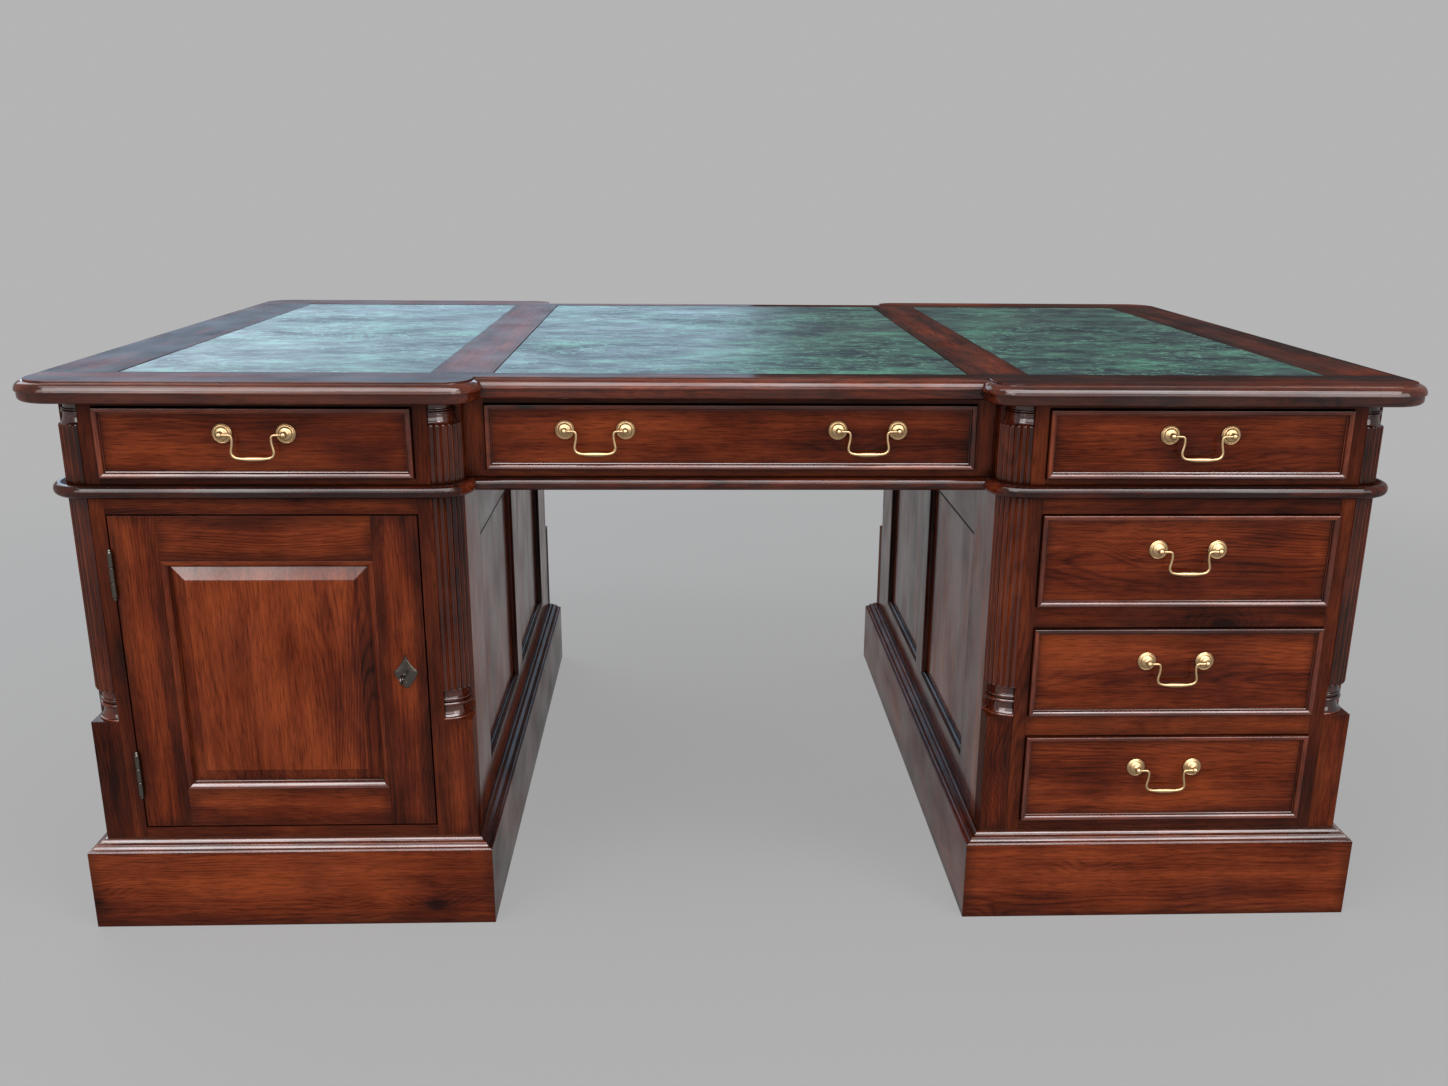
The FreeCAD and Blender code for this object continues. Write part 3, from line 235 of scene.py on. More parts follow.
mahogany = wood(
    "polished_mahogany", (0.022, 0.0044, 0.0026), (0.136, 0.0216, 0.0070), (0.325, 0.0620, 0.0165),
    polish=0.30, shine=0.14, age_and_shade=0.9)
timber = wood(
    "plain_inside_timber", (0.110, 0.045, 0.020), (0.230, 0.110, 0.052), (0.330, 0.180, 0.095),
    polish=0.60, shine=0.0, age_and_shade=0.45)

boards_cut = random.Random(1887)
board_layers = (
    ("float_vector", "along_board"), ("float_vector", "board_half"), ("float_vector", "board_cut"),
    ("float", "board_tone"), ("float", "board_gloss"))


def reach(solid, axis):
    """Where a solid starts and ends along an axis."""
    values = [vert.co[axis] for vert in solid.verts]
    return min(values), max(values)


def nearest(solid, axis):
    return min(abs(value) for value in reach(solid, axis))


def farthest(solid, axis):
    return max(abs(value) for value in reach(solid, axis))


def lay_grain(solid, along=None, worn=True, shade=0.0, glossy=None):
    """Gives one board its own place in the log, its grain along its longest side or the one named.
    Mouldings, and what glossy picks out of a board, take a higher polish than the flat."""
    spans = [reach(solid, axis) for axis in range(3)]
    axes = sorted(range(3), key=lambda axis: spans[axis][0] - spans[axis][1])
    if along is not None:
        axes.remove(along)
        axes.insert(0, along)
    cut = (boards_cut.uniform(-9, 9), boards_cut.uniform(-0.09, 0.09), boards_cut.uniform(0.03, 0.16))
    side = boards_cut.choice((-1, 1))
    tone = boards_cut.uniform(-1, 1) + shade
    half = [(spans[axis][1] - spans[axis][0]) / 2 for axis in axes] if worn else [1.0, 1.0, 1.0]
    for kind, name in board_layers:
        getattr(solid.verts.layers, kind).new(name)
    along_board, board_half, board_cut, board_tone, board_gloss = [
        getattr(solid.verts.layers, kind)[name] for kind, name in board_layers]
    for vert in solid.verts:
        place = [vert.co[axis] - sum(spans[axis]) / 2 for axis in axes]
        vert[along_board] = (place[0], place[1], place[2] * side)
        vert[board_half] = half
        vert[board_cut] = cut
        vert[board_tone] = tone
        vert[board_gloss] = float(glossy(vert.co) if glossy else not worn)
    return solid


def toned(solid, change):
    """Makes some places of a board paler or darker."""
    layer = solid.verts.layers.float["board_tone"]
    for vert in solid.verts:
        vert[layer] += change(vert.co)
    return solid


def ease(solid, width=0.0006, segments=2, sharpest=0.35):
    """Takes the sharpness off every arris of a board."""
    arrises = [edge for edge in solid.edges if edge.is_manifold and edge.calc_face_angle() > sharpest]
    bmesh.ops.bevel(
        solid, geom=arrises, offset=width, segments=segments, profile=0.55, affect="EDGES",
        clamp_overlap=True)
    return solid


def faced_out(solid):
    """Turns every face of a closed solid outwards."""
    bmesh.ops.recalc_face_normals(solid, faces=solid.faces)
    return solid


def held(name, data):
    """A new object of the scene."""
    made = bpy.data.objects.new(name, data)
    bpy.context.scene.collection.objects.link(made)
    return made


def made_up(name, solids, material, even=True):
    """One object of several solids, smooth between its arrises."""
    whole = bmesh.new()
    for solid in solids:
        loose = bpy.data.meshes.new(name)
        solid.to_mesh(loose)
        whole.from_mesh(loose)
        bpy.data.meshes.remove(loose)
        solid.free()
    mesh = bpy.data.meshes.new(name)
    whole.to_mesh(mesh)
    whole.free()
    mesh.materials.append(material)
    mesh.shade_smooth()
    mesh.set_sharp_from_angle(angle=math.radians(38))
    piece = held(name, mesh)
    if even:
        weighted = piece.modifiers.new("even_shading", "WEIGHTED_NORMAL")
        weighted.keep_sharp = True
    return piece


def placed(piece, body, slot, *parts):
    """Fixes a piece to its body, in the place of CAD nodes."""
    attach(piece, body)
    if parts:
        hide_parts(*parts)
    return piece


def solids_of(part):
    """The separate solids of a CAD node, each with its triangles joined into whole faces."""
    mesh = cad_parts[part].data
    spots = [tuple(round(c, 6) for c in vert.co) for vert in mesh.vertices]
    found, faces, unpaired = [], [], set()
    for polygon in mesh.polygons:
        corners = [spots[index] for index in polygon.vertices]
        if len(set(corners)) < 3:
            continue
        faces.append(corners)
        for pair in zip(corners, corners[1:] + corners[:1]):
            unpaired ^= {frozenset(pair)}
        if not unpaired:
            found.append(faces)
            faces = []
    solids = []
    for faces in found + ([faces] if faces else []):
        solid = bmesh.new()
        verts = {}
        for corners in faces:
            for corner in corners:
                if corner not in verts:
                    verts[corner] = solid.verts.new(corner)
            solid.faces.new([verts[corner] for corner in corners])
        bmesh.ops.dissolve_limit(solid, angle_limit=0.002, verts=solid.verts, edges=solid.edges)
        solids.append(faced_out(solid))
    return solids


def span(part, axis):
    """Where a CAD node starts and ends along an axis, cleared of rounding."""
    low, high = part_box(part)
    return round(low[axis], 5), round(high[axis], 5)


def arc(centre, radius, start, end, steps):
    """Points along an arc, its ends included; the angles are in degrees."""
    points = []
    for step in range(steps + 1):
        angle = math.radians(start + (end - start) * step / steps)
        points.append((centre[0] + radius * math.cos(angle), centre[1] + radius * math.sin(angle)))
    return points


def bridge(solid, rows, closed=True):
    """Joins rows of points with faces; closed rows come back to their first point."""
    count = len(rows[0])
    for lower, upper in zip(rows, rows[1:]):
        for k in range(count if closed else count - 1):
            following = (k + 1) % count
            solid.faces.new((lower[k], lower[following], upper[following], upper[k]))


def ring_loft(rings):
    """A closed solid through rings of points, from the first to the last."""
    solid = bmesh.new()
    rows = [[solid.verts.new(point) for point in ring] for ring in rings]
    bridge(solid, rows)
    solid.faces.new(rows[0][::-1])
    solid.faces.new(rows[-1])
    return faced_out(solid)


def mitred_surround(across, up, profile, place):
    """Four strips mitred round a rectangle; the profile runs in (inwards, outwards) and is closed."""
    corners = [(across[0], up[0], 1, 1), (across[1], up[0], -1, 1),
               (across[1], up[1], -1, -1), (across[0], up[1], 1, -1)]
    return [
        ring_loft([
            [place(u + du * inward, v + dv * inward, out) for inward, out in profile]
            for u, v, du, dv in pair])
        for pair in zip(corners, corners[1:] + corners[:1])]


pedestal_x, pedestal_y = span("pedestal_side_frames", 0)[1], span("pedestal_face_frames", 1)[1]
knee_x = 0.362
pedestals = [(-pedestal_x, -knee_x), (knee_x, pedestal_x)]
plinth_x, plinth_y = span("plinths", 0)[1], span("plinths", 1)[1]
plinth_out = plinth_x - pedestal_x
plinth_moulding = [(0.0003, 0.0), (0.0003, 0.1158), (0.0012, 0.1170), (0.0026, 0.1172), (0.0026, 0.1183)]
plinth_moulding += arc((0.0026, 0.1243), 0.0060, -90, 0, 6)
plinth_moulding += arc((0.0200, 0.1240), 0.0058, 180, 90, 6)[1:]
plinth_moulding += [(0.0218, 0.1298), (0.0218, 0.0)]
moulded_from = 0.1164
skirtings = []
for low, high in pedestals:
    skirtings += mitred_surround(
        (low - plinth_out, high + plinth_out), (-plinth_y, plinth_y), plinth_moulding,
        lambda u, v, out: (u, v, out))
for solid in skirtings:
    ease(solid, 0.0004, 1, 0.7)
    # Inside the kneehole the skirtings are painted darker: painted shade under the desk.
    if farthest(solid, 0) < knee_x:
        lay_grain(solid, shade=-1.6, glossy=lambda place: 0.45 if place.z < moulded_from else -0.05)
    else:
        lay_grain(solid, glossy=lambda place: place.z > moulded_from)
slack = 0.0001
bearers = [
    lay_grain(ease(solid)) for solid in solids_of("plinths") if nearest(solid, 0) > knee_x - slack
    and farthest(solid, 0) < pedestal_x + slack and farthest(solid, 1) < pedestal_y + slack]
placed(made_up("plinth_skirtings", skirtings, mahogany), "desk", "mahogany", "plinths")
placed(made_up("plinth_bearers", bearers, timber), "desk", "carcase_timber")


# ------------------------------------------------------------------ pedestals
# Frames of stiles and rails, tenoned and flushed off: the drawer and door fronts' frames, the sides'
# frames with a muntin between two sunk panels, and an ovolo mitred round each panel.

planed = 0.0005
for part in ("pedestal_face_frames", "pedestal_side_frames", "pedestal_side_panels"):
    boards = solids_of(part)
    for board in boards:
        ease(board, planed)
        lay_grain(board, along=2 if part == "pedestal_side_panels" else None,
                  glossy=None if part == "pedestal_face_frames" else lambda place: 0.6)
    placed(made_up(part + "_dressed", boards, mahogany), "desk", "mahogany", part)

sunk = pedestal_x - span("pedestal_side_panels", 0)[1]
muntin = 0.030
panel_y, panel_z = span("pedestal_side_panels", 1)[1], span("pedestal_side_panels", 2)
side_ovolo = [(0.0, 0.0), (0.0090, 0.0), (0.0090, 0.0008), (0.0082, 0.0012)]
side_ovolo += arc((0.0016, 0.0010), 0.0066, 0, 90, 8)
side_ovolo += [(0.0006, 0.0080), (0.0, 0.0074)]
side_rings = []
for x, way in ((pedestal_x - sunk, 1), (knee_x + sunk, -1), (sunk - pedestal_x, -1), (-knee_x - sunk, 1)):
    for y_span in ((-panel_y, -muntin), (muntin, panel_y)):
        side_rings += mitred_surround(y_span, panel_z, side_ovolo, lambda u, v, out: (x + way * out, u, v))
# The ovolos are painted much darker than the panels on every side: partly a dark stain, partly painted shade
# for the kneehole.
for solid in side_rings:
    lay_grain(solid, worn=False, shade=-3.4, glossy=lambda place: 0.0)
placed(made_up("side_panel_ovolos", side_rings, mahogany), "desk", "mahogany", "side_panel_mouldings")


# ------------------------------------------------------------------ carcase inside
# Plain boards that the eye meets only with a drawer or a door open: floors, the spine between the two
# partners' sides, the dust board, the boards under the leather, and the runners and guides.

for part in ("carcase_boards", "drawer_runners", "top_boards"):
    boards = [lay_grain(ease(solid, planed)) for solid in solids_of(part)]
    placed(made_up(part + "_dressed", boards, timber), "desk", "carcase_timber", part)


# ------------------------------------------------------------------ fluted quarter columns
# A turning split in four for the corners of each pedestal: a square block, a bell and two rings, then
# seven hollow flutes up past the waist moulding to the capital, where the flutes end in a scalloped lip.

column_radius = 0.038


def geometry_tree(name, sockets):
    """A geometry tree with inputs for a geometry, its sizes and its material."""
    tree = bpy.data.node_groups.new(name, "GeometryNodeTree")
    tree.interface.new_socket("Geometry", in_out="OUTPUT", socket_type="NodeSocketGeometry")
    tree.interface.new_socket("Geometry", in_out="INPUT", socket_type="NodeSocketGeometry")
    for label, kind, value in sockets:
        socket = tree.interface.new_socket(label, in_out="INPUT", socket_type="NodeSocket" + kind)
        socket.default_value = value
    tree.interface.new_socket("Finish", in_out="INPUT", socket_type="NodeSocketMaterial")
    return tree, tree.nodes.new("NodeGroupInput").outputs


def ended(tree, given, shape):
    """Ends a geometry tree: what it made becomes a plain mesh in its material."""
    real = wired(tree, "GeometryNodeRealizeInstances", {0: shape.outputs[0]})
    plugs = {"Geometry": real.outputs[0], "Material": given["Finish"]}
    coloured = wired(tree, "GeometryNodeSetMaterial", plugs)
    wired(tree, "NodeGroupOutput", {0: coloured.outputs[0]})
    return tree


def shaped_by(tree, start, values):
    """Runs a geometry tree over a mesh with these inputs and gives back a plain mesh."""
    holder = held(tree.name + "_holder", start)
    modifier = holder.modifiers.new(tree.name, "NODES")
    modifier.node_group = tree
    for item in tree.interface.items_tree:
        if item.in_out == "INPUT" and item.name in values:
            modifier[item.identifier] = values[item.name]
    view = bpy.context.evaluated_depsgraph_get()
    mesh = bpy.data.meshes.new_from_object(holder.evaluated_get(view))
    holder.modifiers.remove(modifier)
    bpy.data.objects.remove(holder)
    return mesh


def flute_tree():
    """Pulls a turning in to a hollow wherever a flute passes, between two heights."""
    tree, given = geometry_tree("flutes_of_a_column", [
        ("Flutes", "Float", 7.0), ("Radius", "Float", column_radius), ("Depth", "Float", 0.003),
        ("Low", "Float", 0.0), ("High", "Float", 1.0)])
    place = tree.nodes.new("GeometryNodeInputPosition").outputs[0]
    x, y, z = wired(tree, "ShaderNodeSeparateXYZ", {0: place}).outputs
    radius = reckon(tree, "SQRT", added(tree, x, x, product(tree, y, y)))
    radius = reckon(tree, "MAXIMUM", radius, 0.000001)
    turn = reckon(tree, "DIVIDE", reckon(tree, "ARCTAN2", y, x), math.pi / 2)
    phase = reckon(tree, "FRACT", product(tree, turn, given["Flutes"]))
    off = reckon(tree, "DIVIDE", reckon(tree, "SUBTRACT", phase, 0.5), 0.455)
    hollow = reckon(tree, "SUBTRACT", 1.0, product(tree, off, off))
    hollow = reckon(tree, "SQRT", reckon(tree, "MAXIMUM", hollow, 0.0))
    floor = reckon(tree, "SUBTRACT", given["Radius"], product(tree, hollow, given["Depth"]))
    above = reckon(tree, "GREATER_THAN", z, given["Low"])
    below = reckon(tree, "LESS_THAN", z, given["High"])
    pulled = reckon(tree, "DIVIDE", reckon(tree, "MINIMUM", radius, floor), radius)
    factor = added(tree, reckon(tree, "SUBTRACT", pulled, 1.0), product(tree, above, below), 1.0)
    plugs = {0: product(tree, x, factor), 1: product(tree, y, factor), 2: z}
    moved = wired(tree, "ShaderNodeCombineXYZ", plugs)
    plugs = {"Geometry": given["Geometry"], "Position": moved.outputs[0]}
    return ended(tree, given, wired(tree, "GeometryNodeSetPosition", plugs))


flutes = flute_tree()


def quarter_turning(name, profile, fluted):
    """A closed quarter of a turning from a profile of (radius, height), fluted between two heights."""
    steps = 98
    turns = [math.pi / 2 * step / steps for step in range(steps + 1)]
    solid = bmesh.new()
    rows = [
        [solid.verts.new((radius * math.cos(turn), radius * math.sin(turn), height)) for turn in turns]
        for radius, height in profile]
    bottom = solid.verts.new((0, 0, profile[0][1]))
    top = solid.verts.new((0, 0, profile[-1][1]))
    bridge(solid, rows, closed=False)
    for s in range(steps):
        solid.faces.new((bottom, rows[0][s + 1], rows[0][s]))
        solid.faces.new((top, rows[-1][s], rows[-1][s + 1]))
    solid.faces.new([bottom] + [row[0] for row in rows] + [top])
    solid.faces.new([top] + [row[-1] for row in reversed(rows)] + [bottom])
    plain = bpy.data.meshes.new(name)
    faced_out(solid).to_mesh(plain)
    solid.free()
    hair = 0.00005
    return shaped_by(flutes, plain, {
        "Flutes": 7.0, "Radius": column_radius, "Depth": 0.0031,
        "Low": fluted[0] - hair, "High": fluted[1] + hair, "Finish": mahogany})


def cove(radius, low):
    """The hollow under a ring or a lip, which narrows by 6.6 mm as it rises by 15 mm."""
    turns = [step * math.pi / 20 for step in range(1, 11)]
    return [(radius - 0.0066 * math.sin(turn), low + 0.0150 * (1 - math.cos(turn))) for turn in turns]


def turned_members(low, step):
    """Two rounded rings with a groove between them, the upper one smaller."""
    rings = arc((0.0322, low + step * 0.5), step * 0.5, -90, 90, 8)
    rings += [(0.0312, low + step * 1.05), (0.0312, low + step * 1.30)]
    rings += arc((0.0314, low + step * 1.75), step * 0.42, -90, 90, 8)
    return rings


block_z = (0.130, 0.307)
shaft_z, neck_z = (0.350, 0.6238), (0.6412, 0.7175)
lip = neck_z[1]
pedestal_profile = [(0.0374, 0.3070), (0.0374, 0.3082), (0.0368, 0.3090)] + cove(0.0368, 0.3090)
pedestal_profile += [(0.0302, 0.3246)] + turned_members(0.3250, 0.0056)
pedestal_profile += [(0.0308, 0.3380), (0.0308, 0.3496), (0.0310, 0.34995), (0.0372, 0.34995)]
pedestal_profile += [(column_radius, 0.3508), (column_radius, shaft_z[1])]
frieze_profile = [(column_radius, neck_z[0]), (column_radius, lip - 0.0006), (0.0376, lip)]
frieze_profile += cove(0.0376, lip) + [(0.0308, lip + 0.0154)]
frieze_profile += arc((0.0316, lip + 0.0172), 0.0015, -80, 80, 6)
frieze_profile += [(0.0308, lip + 0.0190)] + arc((0.0311, lip + 0.0204), 0.0012, -80, 80, 6)
frieze_profile += [(0.0300, lip + 0.0220), (0.0296, lip + 0.0260), (0.0300, 0.7506), (0.0300, 0.7518)]
quarters = (
    quarter_turning("pedestal_quarter", pedestal_profile, shaft_z),
    quarter_turning("frieze_quarter", frieze_profile, (neck_z[0], lip + 0.0060)))


def shaft_polish(place):
    return 0.35 if shaft_z[0] - 0.005 < place.z < lip + 0.0005 else 0.75


def flute_light_and_shade(place, x, y):
    """Paler on the lands between the flutes, a painted highlight, and darker everywhere nearer the axis, a
    painted shade in the flutes, rings, bell and coves.
    """
    return 4.6 if math.hypot(place.x - x, place.y - y) > column_radius - 0.0007 else -1.4


def block(middle, size):
    """Squared stock about its middle."""
    solid = bmesh.new()
    bmesh.ops.create_cube(solid, size=1.0)
    solid.transform(Matrix.Translation(middle) @ Matrix.Diagonal((*size, 1.0)))
    return solid


corner_turns = {(1, 1): 0, (-1, 1): 90, (-1, -1): 180, (1, -1): 270}
column_y = pedestal_y - column_radius
block_size = (column_radius - 0.0001, column_radius - 0.0001, block_z[1] - block_z[0])
columns = []
for x, x_way in [(end - way * column_radius, way) for ends in pedestals for end, way in zip(ends, (-1, 1))]:
    for y, y_way in ((-column_y, -1), (column_y, 1)):
        turn = Matrix.Rotation(math.radians(corner_turns[x_way, y_way]), 4, "Z")
        for quarter in quarters:
            solid = bmesh.new()
            solid.from_mesh(quarter)
            solid.transform(Matrix.Translation((x, y, 0)) @ turn)
            lay_grain(solid, along=2, worn=False, glossy=shaft_polish)
            # Painted highlight on the lands and painted shade in the flutes and hollows.
            columns.append(toned(solid, lambda place: flute_light_and_shade(place, x, y)))
        middle = (x + x_way * column_radius / 2, y + y_way * column_radius / 2, sum(block_z) / 2)
        columns.append(lay_grain(ease(block(middle, block_size), 0.0008), along=2))
placed(made_up("fluted_columns", columns, mahogany), "desk", "mahogany", "quarter_columns")


# ------------------------------------------------------------------ waist moulding
# A half-round nosing on a board that lies between pedestal and frieze, bowed round the columns, and a
# run of the same nosing coped between the pedestals under the centre drawers.

def rounded_rectangle(x, y, radius, steps=14):
    """The outline of a rectangle with round corners, anticlockwise."""
    points = arc((x[1] - radius, y[0] + radius), radius, -90, 0, steps)
    points += arc((x[1] - radius, y[1] - radius), radius, 0, 90, steps)
    points += arc((x[0] + radius, y[1] - radius), radius, 90, 180, steps)
    points += arc((x[0] + radius, y[0] + radius), radius, 180, 270, steps)
    return points


def sawn(solid, planes):
    """The part of a solid behind every plane, its cut faces closed."""
    for point, normal in planes:
        everything = solid.verts[:] + solid.edges[:] + solid.faces[:]
        bmesh.ops.bisect_plane(
            solid, geom=everything, dist=0.00001, plane_co=point, plane_no=normal, clear_outer=True)
        rim = [edge for edge in solid.edges if edge.is_boundary]
        bmesh.ops.holes_fill(solid, edges=rim, sides=0)
    return faced_out(solid)


def crosswise(solid):
    """Lays a run's grain along the other way of the board it was cut from."""
    layer = solid.verts.layers.float_vector["along_board"]
    for vert in solid.verts:
        along, over, through = vert[layer]
        vert[layer] = (over + 0.7, along, through)
    return solid


def nosing_polish(place):
    """The round of the nosing is rubbed bright, and the ledge on top of it is dull."""
    return 0.35 if place.z < 0.6408 else -0.12


nose = [(0.0110, 0.6242)]
nose += arc((0.0080, 0.6320), 0.0078, 260, 180, 8)
nose += arc((0.0080, 0.6330), 0.0078, 180, 100, 8)
nose += [(0.0110, 0.6409)]
nose_y = span("waist_moulding", 1)[1]
nose_out = nose_y - pedestal_y
waist = []
for low, high in pedestals:
    ends = (low - nose_out, high + nose_out)
    board = lay_grain(ring_loft([
        [(x, y, z) for x, y in rounded_rectangle(
            (ends[0] + inward, ends[1] - inward), (inward - nose_y, nose_y - inward),
            column_radius + nose_out - inward)]
        for inward, z in nose]), worn=False, shade=-2.2, glossy=nosing_polish)
    for way in (-1, 1):
        waist.append(crosswise(sawn(board.copy(), [
            ((ends[0], way * nose_y, 0), (-1, -way, 0)), ((ends[1], way * nose_y, 0), (1, -way, 0))])))
        side = ends[0] if way < 0 else ends[1]
        waist.append(sawn(board.copy(), [
            ((side, -nose_y, 0), (-way, -1, 0)), ((side, nose_y, 0), (-way, 1, 0)),
            ((sum(ends) / 2, 0, 0), (-way, 0, 0))]))
    board.free()
centre_y, centre_deep, centre_end = 0.511, 0.041, knee_x - 0.013
for way in (-1, 1):
    section = [(way * (centre_y + nose_out - inward), z) for inward, z in nose]
    section += [(way * (centre_y - centre_deep), z) for z in (nose[-1][1], nose[0][1])]
    run = ring_loft([[(x, y, z) for y, z in section] for x in (-centre_end, centre_end)])
    waist.append(lay_grain(run, worn=False, shade=-2.2, glossy=nosing_polish))
placed(made_up("waist_nosing", waist, mahogany), "desk", "mahogany", "waist_moulding")


# ------------------------------------------------------------------ frieze
# Stiles, rails and ends round the six drawers under the top, flush with the pedestals' faces below.

frieze_boards = [lay_grain(ease(solid, planed)) for solid in solids_of("frieze_frame")]
placed(made_up("frieze_boards", frieze_boards, mahogany), "desk", "mahogany", "frieze_frame")


# ------------------------------------------------------------------ top
# Six mahogany rails round three bays, moulded along the edge with a quirk, an ovolo, a step and a
# rounded under-edge. The ends stand forward of the middle and turn in to it through a small quadrant.

top_x, top_y, top_z = span("top_frame", 0)[1], span("top_frame", 1)[1], span("top_frame", 2)
corner, quadrant = 0.060, 0.050
break_x, middle_y = 0.328, 0.555


def breakfront_outline(inset, steps=14):
    """The top's outline, each edge moved in; the quadrants keep their centres."""
    half = arc((top_x - corner, top_y - corner), corner - inset, 0, 90, steps)
    half += arc((break_x + quadrant, top_y - quadrant), quadrant - inset, 90, 180, steps)
    half += [(break_x + inset, middle_y - inset)]
    back = half + [(-x, y) for x, y in reversed(half)]
    return back + [(-x, -y) for x, y in back]


edge_moulding = [(0.0092, 0.7521)]
edge_moulding += arc((0.0086, 0.7581), 0.0060, 270, 180, 6)
edge_moulding += [(0.0026, 0.7644), (0.0022, 0.7649), (0.0006, 0.7650), (0.0002, 0.7654)]
edge_moulding += arc((0.0115, 0.7662), 0.0113, 180, 96, 10)
edge_moulding += [(0.0118, 0.7774), (0.0120, 0.7778), (0.0120, 0.7794), (0.0126, 0.7800)]
flat_from, ovolo_from = 0.7798, 0.7655


def edge_polish(place):
    """The moulded edge is rubbed bright, and the flat of the rails is dull."""
    return 0.42 if place.z < flat_from else -0.04


def rail_tone_and_edge_light(place):
    """The flat is the darkest. The ovolo is painted a little paler, a painted highlight, and the member under
    it darker, a painted shade.
    """
    if place.z > flat_from:
        return -2.4
    return 0.3 if place.z > ovolo_from else -0.9


whole_top = ring_loft([[(x, y, z) for x, y in breakfront_outline(inward)] for inward, z in edge_moulding])
bay_x, bay_y = span("leather_insets", 0)[1], span("leather_insets", 1)[1]
divider = (0.320, 0.402)
divider_size = (divider[1] - divider[0], bay_y * 2, top_z[1] - top_z[0])
top_rails = []
for way in (-1, 1):
    long_rail = sawn(whole_top.copy(), [((0, way * bay_y, 0), (0, -way, 0))])
    end_rail = sawn(whole_top.copy(), [
        ((way * bay_x, 0, 0), (-way, 0, 0)), ((0, bay_y, 0), (0, 1, 0)), ((0, -bay_y, 0), (0, -1, 0))])
    bar = block((way * sum(divider) / 2, 0, sum(top_z) / 2), divider_size)
    for rail in (long_rail, end_rail):
        ease(rail, 0.0003, 1, 1.3)
    ease(bar, planed)
    for rail, along in ((long_rail, 0), (end_rail, 1), (bar, 1)):
        top_rails.append(toned(lay_grain(rail, along, glossy=edge_polish), rail_tone_and_edge_light))
whole_top.free()
placed(made_up("top_rails", top_rails, mahogany), "desk", "mahogany", "top_frame")


# ------------------------------------------------------------------ leather
# Three skivers, dyed green over a darker ground and mottled by hand, laid flush in the rails with
# their edges turned down.

def leather_finish():
    """Two sizes of mottle that drift into each other, pale veins in places, and a pebbled grain."""
    made, tree, shader = finish("mottled_green_leather")
    place = wired(tree, "ShaderNodeTexCoord").outputs["Object"]
    wander = vectors(tree, "MULTIPLY", noise(tree, place, (6.0, 8.0, 8.0), 4.0)["Color"], (0.09, 0.05, 0.0))
    drift = vectors(tree, "ADD", wander, place)
    broad = clouds(tree, drift, (7.0, 12.0, 1.0), 5.0, 0.62)
    fine = clouds(tree, drift, (28.0, 46.0, 1.0), 5.0, 0.74)
    mottle = added(tree, fine, 0.42, product(tree, broad, 0.58))
    colour = ramped(tree, mottle, [
        (0.40, (0.003, 0.016, 0.026)), (0.48, (0.005, 0.036, 0.040)),
        (0.55, (0.008, 0.090, 0.062)), (0.65, (0.045, 0.260, 0.165))])
    thread = reckon(tree, "SUBTRACT", clouds(tree, drift, (13.0, 21.0, 1.0), 4.0, 0.62), 0.5)
    vein = ramped(tree, reckon(tree, "ABSOLUTE", thread), [(0.0, 0.85), (0.020, 0.0)])
    veined = ramped(tree, clouds(tree, place, (4.0, 6.0, 1.0), 3.0), [(0.38, 0.15), (0.58, 1.0)])
    colour = blended(tree, "MIX", product(tree, vein, veined), colour, (0.14, 0.39, 0.28, 1.0))
    # Painted shade: the leather's colour darkens in the narrow hollow along the rails.
    edge = ramped(tree, hollows(tree, 0.006), [(0.45, 0.15), (0.85, 1.0)])
    wear = clouds(tree, place, (5.0, 8.0, 1.0), 4.0, 0.6)
    pebble = cells(tree, place, 620.0)["Distance"]
    height = added(tree, mottle, 0.5, product(tree, pebble, 0.5))
    plug(tree, shader, {
        "Base Color": blended(tree, "MULTIPLY", 1.0, colour, edge),
        "Roughness": added(tree, wear, 0.24, 0.34),
        "Specular IOR Level": ramped(tree, mottle, [(0.42, 0.05), (0.60, 0.28)]),
        "Normal": bumped(tree, height, 0.35, 0.0004)})
    return made


leather_edge = [(0.0010, 0.7781), (0.0009, 0.7787), (0.0012, 0.7791), (0.0020, 0.77945), (0.0036, 0.7795)]
skivers = [
    ring_loft([
        [(x, y, z) for x, y in rounded_rectangle(
            (low + inward, high - inward), (inward - bay_y, bay_y - inward), 0.0012, 3)]
        for inward, z in leather_edge])
    for low, high in ((-bay_x, -divider[1]), (-divider[0], divider[0]), (divider[1], bay_x))]
placed(made_up("leather_skivers", skivers, leather_finish()), "desk", "leather", "leather_insets")


# ------------------------------------------------------------------ drawers
# A mahogany front with a bead mitred round its edge, two sides, a back and a bottom in plain timber.
# The front, the bead and the box each keep to their own opening in the frame.

front_thick = 0.020
bead = [(0.0, 0.0), (0.0, 0.0056)]
bead += arc((0.0014, 0.0056), 0.0014, 180, 90, 4)[1:]
bead += [(0.0030, 0.0070)]
bead += arc((0.0030, 0.0030), 0.0039, 88, 0, 7)
bead += [(0.0071, 0.0018), (0.0080, 0.0014), (0.0081, 0.0)]


def drawer_boards(part):
    """A drawer's front and the boards of its box; the CAD node's plain bead is left out."""
    front, box = None, []
    for solid in solids_of(part):
        low, high = reach(solid, 1)
        if high - low < 0.012 and farthest(solid, 1) > 0.517:
            solid.free()
        elif abs(high - low - front_thick) < 0.0005 and farthest(solid, 1) > 0.5:
            front = solid
        else:
            box.append(solid)
    return front, box


